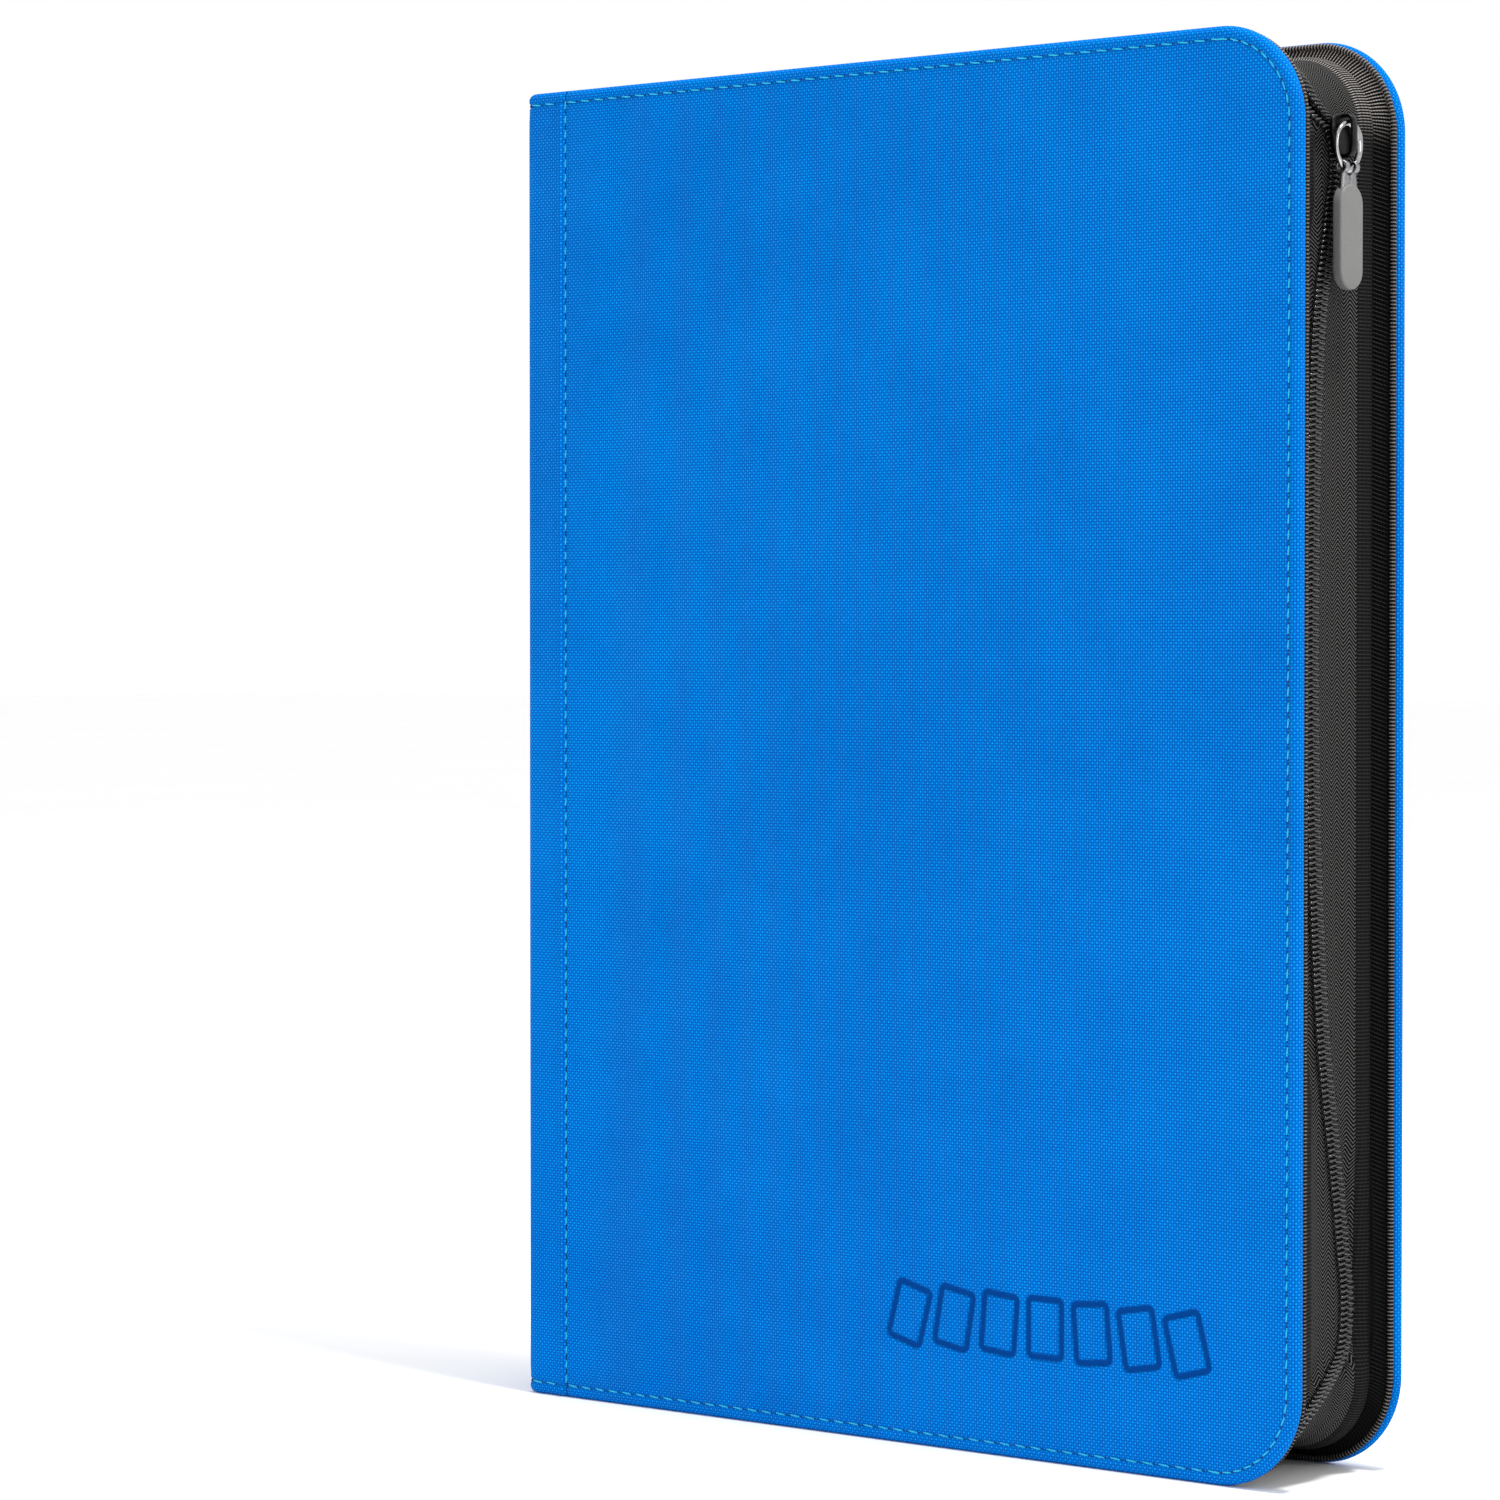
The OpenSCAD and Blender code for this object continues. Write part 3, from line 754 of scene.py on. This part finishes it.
wallLook = {"start": 0.4 * mm, "roomy": 17 * mm, "least": 0.46, "rows": 420, "columns": 61, "thick": 0.5 * mm,
            "bandFrom": 20, "tapeFrom": 31, "ridge": (22, 30), "proud": 0.4 * mm, "leastCut": 10.5 * mm,
            "near": 1.2 * mm, "far": 8.6 * mm, "farFrom": 4.5 * mm, "farSlope": 0.7,
            "tapeGap": 0.25 * mm, "tapeWide": 2.6 * mm, "bandShift": 2.2 * mm, "bandLean": 0.2 * mm,
            "bandDepth": (6.9, 10.8), "tapeSink": (0.0, 0.8)}

# the gusset's folds in mm: distance from the cover, depth where there is room, depth where it is drawn tight
folds = [(0.0, 1.3, 1.3), (1.9, 6.2, 3.2), (4.2, 4.6, 6.0), (8.5, 5.1, 9.6)]

wallLength = edgeLength(zipX)
sliderAlong = freeX - cornerR - zipX + pi / 2 * cornerR + tall - cornerR - sliderZ

# the closed chain wanders between the covers: distance below the slider, place across, depth, half gap, all in mm
wander = np.array([
    [-232, 0.0, 4.5, 0.0], [-215, -0.6, 4.5, 0.9], [-150, -5.0, 4.6, 1.6], [-60, -9.5, 4.8, 1.9],
    [-20, -10.2, 4.8, 2.0], [-11, -9.6, 4.9, 2.0], [-5.5, -5.8, 4.8, 1.9], [-1, -1.0, 4.5, 0.5],
    [2, 0.0, 4.4, 0.0], [6, 0.6, 4.4, 0.0], [16, -1.0, 4.5, 0.0], [40, -5.2, 4.9, 0.0], [71, -6.8, 5.3, 0.0],
    [116, -7.0, 5.6, 0.0], [143, -6.5, 5.6, 0.0], [182, -4.4, 5.4, 0.0], [210, -1.6, 5.1, 0.0],
    [225, 1.0, 4.9, 0.0], [247, 4.3, 4.6, 0.0], [263, 6.0, 4.4, 0.0], [272, 4.4, 4.4, 0.0],
    [281, -3.6, 4.4, 0.0], [290, -9.2, 4.5, 0.0], [300, -9.8, 4.6, 0.0], [360, -8.0, 4.6, 0.0],
    [450, -3.0, 4.5, 0.0], [508, 0.0, 4.5, 0.0]])


def chainAt(along):
    # place of the chain at a distance along the edge (across, depth of its outer face, half gap), by the cubic
    # Hermite formula with its slopes held down, so that it doesn't swing past its knots
    t = (along - sliderAlong) / mm
    knots = wander[:, 0]
    span = np.clip(np.searchsorted(knots, t) - 1, 0, len(knots) - 2)
    wide = knots[span + 1] - knots[span]
    u = np.clip((t - knots[span]) / wide, 0, 1)
    values = []
    for column in (1, 2, 3):
        known = wander[:, column]
        slope = np.gradient(known, knots)
        steep = np.abs((known[span + 1] - known[span]) / wide) * 2.5
        m0, m1 = (np.clip(slope[span + k], -steep, steep) for k in (0, 1))
        values.append(((2 * u ** 3 - 3 * u ** 2 + 1) * known[span] + (u ** 3 - 2 * u ** 2 + u) * wide * m0
                       + (3 * u ** 2 - 2 * u ** 3) * known[span + 1] + (u ** 3 - u ** 2) * wide * m1) * mm)
    return values


def wallPoint(along, y, depth):
    # points of the zipper's wall: along the edge, across between the covers, and a depth behind the edge
    x, z, _, _ = edgeLine(along, depth, zipX)
    return pack(x, y, z)


def edgeBinding(half, side):
    # a tube whose radius rises and falls once for each rib, by cos of the true length along it
    rough = np.linspace(0, wallLength, 8000)
    length = lengths(wallPoint(rough, 0, zipLook["binding"]))
    even = np.linspace(0, length[-1], int(length[-1] / (zipLook["rib"] / 4)))
    along = np.interp(even, length, rough)
    path = wallPoint(along, side * (innerY - zipLook["bindingY"]), zipLook["binding"])
    radius = 1 + zipLook["swell"] * np.cos(2 * pi * even / zipLook["rib"])
    tube = carry(path, copies((0, side, 0), len(path)), circle(zipLook["bindingR"], 8), scale=radius)
    makePiece(half + "EdgeBinding", [tube], [pipingCloth], half + "_half",
              (half + "_edge_binding",), weld=False)


def zipperWall(half, side):
    # control points from the binding to the coil, spread by the room between them, with a smooth line through them;
    # the line's first columns are the gusset, the next its band and the last the tape
    along = np.linspace(0, wallLength, wallLook["rows"])
    across, depth, gap = chainAt(along)
    edge = innerY - wallLook["start"]
    k = np.clip((edge - side * across) / wallLook["roomy"], wallLook["least"], 1.0)
    tight = (1 - k) / (1 - wallLook["least"])
    inner = side * across + gap + wallLook["tapeGap"]
    face = depth + (tapeDepth - coilDepth)

    def mixed(loose, drawn):
        # millimetres between a loose and a tightly drawn shape
        return (loose * (1 - tight) + drawn * tight) * mm

    places = [edge - away * mm * k for away, _, _ in folds]
    depths = [mixed(loose, drawn) for _, loose, drawn in folds]
    places += [(places[-1] + inner + wallLook["bandShift"]) / 2, inner + wallLook["tapeWide"], inner]
    depths += [np.maximum(mixed(*wallLook["bandDepth"]), face - wallLook["bandLean"]),
               face + mixed(*wallLook["tapeSink"]), face]
    controls = np.stack([pack(p, d) for p, d in zip(places, depths)], 1)
    line = smoothThrough(controls, wallLook["columns"])
    y, d = line[..., 0], line[..., 1]
    beyond = np.maximum(np.abs(y) - wallLook["farFrom"], 0)
    d = np.clip(d, wallLook["near"], wallLook["far"] + beyond * wallLook["farSlope"])
    d[:, slice(*wallLook["ridge"])] -= wallLook["proud"]
    points = wallPoint(along[:, None], side * y, d)
    wound = np.cumsum(np.linalg.norm(np.diff(line, axis=1), axis=2), 1)
    wound = np.concatenate([np.zeros((len(along), 1)), wound], 1)
    spots = pack(along[:, None], wound)

    def strip(first, last, finish):
        # the wall's columns from first to last as one part
        return gridPart(points[:, first:last + 1], spots[:, first:last + 1], finish=finish)

    bandFrom, tapeFrom, tapeEnd = wallLook["bandFrom"], wallLook["tapeFrom"], wallLook["columns"] - 1
    gusset = makePiece(half + "Gusset", [strip(0, bandFrom, 0), strip(bandFrom, tapeFrom, 1)],
                       [gussetCloth, bandCloth], half + "_half", (half + "_gusset",),
                       weld=False, thick=wallLook["thick"])
    tape = makePiece(half + "ZipperTape", [strip(tapeFrom, tapeEnd, 0)], [tapeCloth], half + "_half",
                     (half + "_zipper_tape",), weld=False, thick=wallLook["thick"])


def zipperCoil(half, side):
    # a flattened helix about the chain: across by cos, deep by sin of the winding angle, once for each tooth; the
    # back coil is half a tooth on from the front one
    rough = np.linspace(zipLook["coilEnd"], wallLength - zipLook["coilEnd"], 9000)
    across, depth, _ = chainAt(rough)
    length = lengths(wallPoint(rough, across, depth))
    steps = zipLook["windingSteps"]
    turn = np.arange(int(length[-1] / zipLook["coilPitch"]) * steps) / steps
    travel = (turn + (0.5 if side > 0 else 0.0)) * zipLook["coilPitch"]
    along = np.interp(travel, length, rough)
    across, depth, gap = chainAt(along)
    angle, loop = turn * 2 * pi, zipLook["loopY"]
    offset = gap + loop - zipLook["mesh"] + loop * np.cos(angle)
    deep = depth + zipLook["wireR"] + zipLook["loopD"] * (1 + np.sin(angle))
    path = wallPoint(along, across + side * offset, deep)
    heart = wallPoint(along, across + side * (gap + loop), depth + zipLook["wireR"] + zipLook["loopD"])
    wire = carry(path, unit(path - heart), circle(zipLook["wireR"], 6))
    makePiece(half + "ZipperCoil", [wire], [coilNylon], half + "_half", (half + "_zipper_coil",),
              weld=False)


def coilStops(half):
    # a round-cornered clip over each end of the coil
    low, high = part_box(half + "_zipper_stops")
    outline = roundedBox(low.x, low.x + zipLook["stopDeep"], low.y, high.y, zipLook["stopR"], 4)
    clips = [plate(outline, z, z + zipLook["stopTall"], 0.4 * mm, "xyz")
             for z in (low.z, high.z - zipLook["stopTall"])]
    makePiece(half + "CoilStops", clips, [gunmetal], half + "_half", (half + "_zipper_stops",))


for half, side in sides.items():
    edgeBinding(half, side)
    zipperWall(half, side)
    zipperCoil(half, side)
    coilStops(half)
print("zipper made")

sliderLook = {"waist": 3.3 * mm, "shoulder": 1.2 * mm, "plate": 1.0 * mm, "bevel": 0.32 * mm,
              "postHalf": 0.3 * mm, "postFoot": 4 * mm, "postHead": 0.6 * mm, "postIn": 0.5 * mm,
              "lipFrom": 3.3 * mm, "lipTo": 4.1 * mm, "lipFoot": 1.2 * mm, "lipHead": 1.6 * mm,
              "lipDeep": 2.4 * mm, "lipBehind": 0.4 * mm}
bridgeLook = {"half": 0.95 * mm, "thick": 0.84 * mm, "square": 0.45, "sunk": 0.3 * mm, "inset": 1.0 * mm,
              "clear": 0.2 * mm}

ringLow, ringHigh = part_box("pull_ring")
tabLow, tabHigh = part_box("pull_tab")
bridgeLow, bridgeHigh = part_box("slider_bridge")
pullX = (ringLow.x + ringHigh.x) / 2
faceX = sliderHigh.x


def sliderOutline():
    # shield outline of a slider plate as y and z: a half width that rises to the shoulder by the square of a sine,
    # closed at both ends by the root of one minus a seventh power
    share = np.linspace(0, 1, 22)
    wide = sliderLook["waist"] + sliderLook["shoulder"] * np.sin(pi / 2 * np.clip(share * 1.25, 0, 1)) ** 2
    wide = wide * np.sqrt(np.clip(1 - np.abs((share - 0.5) / 0.5) ** 7, 0, 1))
    z = sliderLow.z + share * (sliderHigh.z - sliderLow.z)
    return np.vstack([pack(wide, z), pack(-wide[::-1], z[::-1])[1:-1]])


sliderPlate, sliderBevel = sliderLook["plate"], sliderLook["bevel"]
post = roundedBox(-sliderLook["postHalf"], sliderLook["postHalf"], sliderHigh.z - sliderLook["postFoot"],
                  sliderHigh.z - sliderLook["postHead"], 0.25 * mm, 3)
lip = roundedBox(sliderLook["lipFrom"], sliderLook["lipTo"], sliderLow.z + sliderLook["lipFoot"],
                 sliderHigh.z - sliderLook["lipHead"], 0.3 * mm, 3)
makePiece("sliderPlates", [
    plate(sliderOutline(), faceX - sliderPlate, faceX, sliderBevel, "yzx"),
    plate(sliderOutline(), sliderLow.x, sliderLow.x + sliderPlate, sliderBevel, "yzx"),
    plate(post, sliderLow.x + sliderLook["postIn"], faceX - sliderLook["postIn"], 0.05 * mm, "yzx", steps=1),
    plate(lip, faceX - sliderLook["lipDeep"], faceX - sliderLook["lipBehind"], 0.1 * mm, "yzx", steps=1),
], [gunmetal], "slider", ("slider_body",))

# the bridge: a flat strap carried over a squared arch that stands on the outer plate
arch = np.linspace(0, pi, 26)
archHalf = (bridgeHigh.z - bridgeLow.z - bridgeLook["inset"]) / 2
archRise = bridgeHigh.x - faceX - bridgeLook["clear"]
archZ = (bridgeLow.z + bridgeHigh.z) / 2 + archHalf * blunt(np.cos(arch), bridgeLook["square"])
archX = faceX - bridgeLook["sunk"] + archRise * blunt(np.sin(arch), bridgeLook["square"])
path = pack(archX, 0, archZ)
foot = np.array([bridgeLook["sunk"], 0, 0])
path = np.vstack([path[:1] - foot, path, path[-1:] - foot])
strap = roundedBox(-bridgeLook["half"], bridgeLook["half"], -bridgeLook["thick"] / 2, bridgeLook["thick"] / 2,
                   0.25 * mm, 3)
makePiece("sliderBridge", [carry(path, copies((0, 1, 0), len(path)), strap)], [gunmetal], "slider",
          ("slider_bridge",), weld=False)

# the ring: a teardrop path, thin on one side and a flat twisted band on the other
ringLook = {"steps": 96, "inset": 0.75 * mm, "lean": 0.10, "pinch": 0.08, "ends": 0.92,
            "thin": (0.46, 0.50), "band": (0.34, 0.75), "twist": 0.7, "twistFrom": 0.4, "edge": 0.8}
turn = turns(ringLook["steps"])
ringMid = (ringLow.z + ringHigh.z) / 2
halfZ = (ringHigh.z - ringLow.z) / 2 - ringLook["inset"]
halfY = (ringHigh.y - ringLow.y) / 2 - ringLook["inset"]
rise = np.cos(turn)
ringY = halfY * np.sin(turn) * (1 + ringLook["lean"] * rise) * (1 - ringLook["pinch"] * np.cos(2 * turn))
ringZ = ringMid + halfZ * blunt(rise, ringLook["ends"])
path = pack(pullX, ringY, ringZ)
flatness = (0.5 + 0.5 * np.sin(turn))[:, None]          # 1 on the back side, 0 on the front side
around = turns(14)
twist = (ringLook["twist"] * np.cos(turn + ringLook["twistFrom"]))[:, None]
a = (ringLook["thin"][0] + ringLook["band"][0] * flatness) * mm * np.cos(around)
b = (ringLook["thin"][1] + ringLook["band"][1] * flatness) * mm * blunt(np.sin(around), ringLook["edge"])
section = pack(a * np.cos(twist) - b * np.sin(twist), a * np.sin(twist) + b * np.cos(twist))
makePiece("pullRing", [carry(path, copies((1, 0, 0), len(path)), section, close=True)], [chrome], "ring",
          ("pull_ring",), weld=False)

# the link: a flat yoke let into the tab, with a U notch, whose two prongs end in eyes round the ring's bend
linkLook = {"foot": 2.9 * mm, "head": 2.75 * mm, "notch": 1.25 * mm, "thick": 1.1 * mm, "eye": 1.25 * mm,
            "sunk": 1.4 * mm, "notchUp": 1.9 * mm, "eyeIn": 0.9 * mm, "eyeThick": 0.48 * mm, "flare": 1.04,
            "waist": 0.95, "easing": 0.6 * mm}
prong = ((0, 0.38), (0.12, 0.5), (0.88, 0.5), (1, 0.38),      # share across the prong, share of the thickness
         (1, -0.38), (0.88, -0.5), (0.12, -0.5), (0, -0.38))
bendY = (linkLook["head"] + linkLook["notch"]) / 2
lower = path[(path[:, 2] < ringMid) & (path[:, 1] > 0)]
lower = lower[np.argsort(lower[:, 1])]
eyeZ = float(np.interp(bendY, lower[:, 1], lower[:, 2]))
footZ, notchZ = tabHigh.z - linkLook["sunk"], tabHigh.z + linkLook["notchUp"]
levels = footZ + (eyeZ - linkLook["eyeIn"] - footZ) * np.linspace(0, 1, 22)
outer = np.interp(levels, [footZ, tabHigh.z + linkLook["easing"], notchZ + linkLook["easing"], eyeZ],
                  [linkLook["foot"] * linkLook["flare"], linkLook["foot"],
                   linkLook["head"] * linkLook["waist"], linkLook["head"]])
under = np.clip((levels - notchZ) / linkLook["notch"], 0, 1)
inner = linkLook["notch"] * np.sqrt(1 - (1 - under) ** 2)
eyeHalf = (linkLook["head"] - linkLook["notch"]) / 2
eyeStrap = roundedBox(-eyeHalf, eyeHalf, -linkLook["eyeThick"] / 2, linkLook["eyeThick"] / 2, 0.15 * mm, 3)
eyeX, eyeUp = circle(linkLook["eye"], 20).T
parts = []
for hand in (-1, 1):
    rows = [pack(pullX + x * linkLook["thick"], hand * (inner + (outer - inner) * share), levels)
            for share, x in prong]
    parts.append(gridPart(np.stack(rows, 1), closeRow=True))
    loop = pack(pullX + eyeX, hand * bendY, eyeZ + eyeUp)
    parts.append(carry(loop, copies((0, 1, 0), len(loop)), eyeStrap, close=True))
makePiece("pullLink", parts, [satinSteel], "pull", ("pull_link",))

# the rubber tab: a pill with a soft edge
tabLook = {"bevel": 0.55 * mm, "arcSteps": 25}
tabHalf = (tabHigh.y - tabLow.y) / 2
sweep = np.linspace(0, pi, tabLook["arcSteps"])
topArc = pack(tabHalf * np.cos(sweep), tabHigh.z - tabHalf + tabHalf * np.sin(sweep))
bottomArc = pack(-tabHalf * np.cos(sweep), tabLow.z + tabHalf - tabHalf * np.sin(sweep))
pill = plate(np.vstack([topArc, bottomArc]), tabLow.x, tabHigh.x, tabLook["bevel"], "yzx", steps=4)
makePiece("pullTab", [pill], [greyRubber], "pull", ("pull_tab",))
print("slider and pull made")

pageLook = {"count": 20, "border": 6 * mm, "free": 3 * mm, "end": 4 * mm, "across": 3, "down": 3,
            "corner": 5 * mm, "weld": 0.9 * mm, "weldThin": 0.45, "edge": 0.35 * mm, "weldPast": 1 * mm,
            "weave": 0.6 * mm, "relief": 0.08 * mm, "low": rgb(0.008, 0.008, 0.009), "high": rgb(0.028, 0.028, 0.030)}

pageFilm, pageShader, pageHere, pageSpots = newFinish("pageFilm", Roughness=0.3, Specular_IOR_Level=0.25,
                                                      Coat_Weight=0.22, Coat_Roughness=0.08)
pageA, pageB, _ = split(pageSpots)
pageWeave = (pageA * (pi / pageLook["weave"])).sine() * (pageB * (pi / pageLook["weave"])).sine()
join(pageShader, "Base Color", pageWeave.rise(-0.8, 0.8).blend(pageLook["low"], pageLook["high"]))
weldMark = pressedMark(pageHere)
join(pageShader, "Roughness", weldMark * 0.35 + 0.22)
bump(pageShader, pageWeave * (0.3 + weldMark * 0.7) + noise(pageHere, 25.0) * 1.5, pageLook["relief"], 0.6)


def pageLines(start, stop, first, last, count):
    # grid lines across a page, close together at its edges and at the welds between pockets, and the welds' places
    pocket = (stop - start - first - last) / count
    welds = start + first + pocket * np.arange(count + 1)
    near = (welds[:, None] + np.array([-3, -1.1, -0.45, 0.45, 1.1, 3])[None, :] * mm).ravel()
    spread = (welds[:-1, None] + pocket * np.array([0.2, 0.5, 0.8])[None, :]).ravel()
    edges = [start, start + pageLook["edge"], stop - pageLook["edge"], stop]
    return np.unique(np.clip(np.concatenate([edges, near, spread]), start, stop).round(6)), welds


def pageMesh(node, body):
    # two faces of a flat sheet, drawn together at the edges by a square root and pressed thin along the welds
    low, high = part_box(node)
    x0, x1, z0, z1 = low.x, high.x, low.z, high.z
    middle, thick = (low.y + high.y) / 2, (high.y - low.y) / 2
    xs, weldX = pageLines(x0, x1, pageLook["border"], pageLook["free"], pageLook["across"])
    zs, weldZ = pageLines(z0, z1, pageLook["end"], pageLook["end"], pageLook["down"])
    gx, gz = np.meshgrid(xs, zs, indexing="ij")
    r, past = pageLook["corner"], pageLook["weldPast"]
    over = np.maximum(np.maximum(z0 + r - gz, gz - z1 + r), 0)
    reach = x1 - r + np.sqrt(np.clip(r * r - over * over, 0, None))
    gx = np.minimum(gx, reach)
    offX = np.abs(gx[..., None] - weldX).min(-1)
    offZ = np.abs(gz[..., None] - weldZ).min(-1)
    inside = (gx > weldX[0] - past) & (gz > weldZ[0] - past) & (gz < weldZ[-1] + past)
    pressed = inside * np.clip(1.6 - np.minimum(offX, offZ) / pageLook["weld"], 0, 1)
    rim = np.minimum(np.minimum(gx - x0, reach - gx), np.minimum(gz - z0, z1 - gz))
    swell = thick * np.clip(rim / pageLook["edge"], 0.0, 1) ** 0.5 * (1 - pageLook["weldThin"] * pressed)
    faces = [gridPart(pack(gx, middle + hand * swell, gz), pack(gx, gz)) for hand in (-1, 1)]
    made = makePiece(node.replace("page_", "pocketPage"), faces, [pageFilm], body, (node,),
                     marks=np.tile(pressed.ravel(), 2))


for number in range(1, pageLook["count"] + 1):
    node = "page_%02d" % number
    pageMesh(node, node)
print("pages made")

wedgeLook = {"ridge": 3.3 * mm, "slope": 0.9 * mm, "bevel": 0.5 * mm, "pitch": 4.2 * mm, "row": 2.2 * mm,
             "foot": 4 * mm, "head": 3 * mm, "halfLong": 1.2 * mm, "threadR": 0.28 * mm}


def wedgeSection():
    # the sewn wedge seen from above, with its corners rounded by averaging with their neighbours
    foot, ridge, deep = wedgeHigh.y, wedgeLook["ridge"], wedgeHigh.x - hingeX
    shoulder = deep - wedgeLook["slope"]
    corners = np.array([[0, -foot], [shoulder, -ridge], [deep, -ridge], [deep, ridge], [shoulder, ridge], [0, foot]])
    steps = [12, 2, 6, 2, 12, 24]
    line = np.vstack([a + (b - a) * np.linspace(0, 1, n, endpoint=False)[:, None]
                      for a, b, n in zip(corners, np.roll(corners, -1, 0), steps)])
    return (line + np.roll(line, 1, 0) * 0.5 + np.roll(line, -1, 0) * 0.5) / 2 + [hingeX, 0]


parts = [plate(wedgeSection(), wedgeLow.z, wedgeHigh.z, wedgeLook["bevel"], "xyz")]
z = np.arange(wedgeLow.z + wedgeLook["foot"], wedgeHigh.z - wedgeLook["head"], wedgeLook["pitch"])
for y in (-wedgeLook["row"], wedgeLook["row"]):
    centre = pack(wedgeHigh.x, y, z)
    parts.append(bead(centre, copies((0, 0, 1), len(z)), copies((1, 0, 0), len(z)),
                      np.full(len(z), wedgeLook["halfLong"]), np.full(len(z), wedgeLook["threadR"]), 1))
makePiece("pageBinding", parts, [liningCloth, pipingCloth], "spine", ("page_binding",))

liningLook = {"edge": 1.5 * mm, "proud": 0.08 * mm, "thick": 0.5 * mm, "bevel": 0.15 * mm}
for half, side in sides.items():
    low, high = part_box(half + "_lining")
    edge = liningLook["edge"]
    outline = roundedBox(low.x, freeX - edge, edge, tall - edge, cornerR - edge, 12)
    square = outline[:, 0] < (low.x + high.x) / 2
    outline[square, 0] = low.x
    ys = sorted((side * (innerY - liningLook["proud"]), side * (innerY + liningLook["thick"])))
    makePiece(half + "Lining", [plate(outline, ys[0], ys[1], liningLook["bevel"], "xzy", steps=1)], [liningCloth],
              half + "_half", (half + "_lining",))

low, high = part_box("spine_lining")
outline = roundedBox(low.y, high.y, low.z, high.z, 1 * mm, 3)
makePiece("spineLining", [plate(outline, low.x, high.x, liningLook["bevel"], "yzx", steps=1)], [liningCloth],
          "spine", ("spine_lining",))

# the spine's ends: panels of ribbed cloth with a shallow sag between their two long edges
endLook = {"sag": 1.2 * mm, "thick": 0.6 * mm}
for name, node, inwardZ in (("spineTopEnd", "spine_top_end", -1), ("spineBottomEnd", "spine_bottom_end", 1)):
    low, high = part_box(node)
    u, v = np.meshgrid(np.linspace(0, 1, 14), np.linspace(-1, 1, 40), indexing="ij")
    sag = endLook["sag"] * (1 - v ** 2) * np.sin(pi * (0.25 + 0.75 * u))
    points = pack(low.x + u * (high.x - low.x), v * high.y, (low.z + high.z) / 2 + inwardZ * sag)
    cloth = makePiece(name, [gridPart(points, points[..., [1, 0]])], [endCloth], "spine", (node,),
                      weld=False, thick=endLook["thick"])
print("inside made")
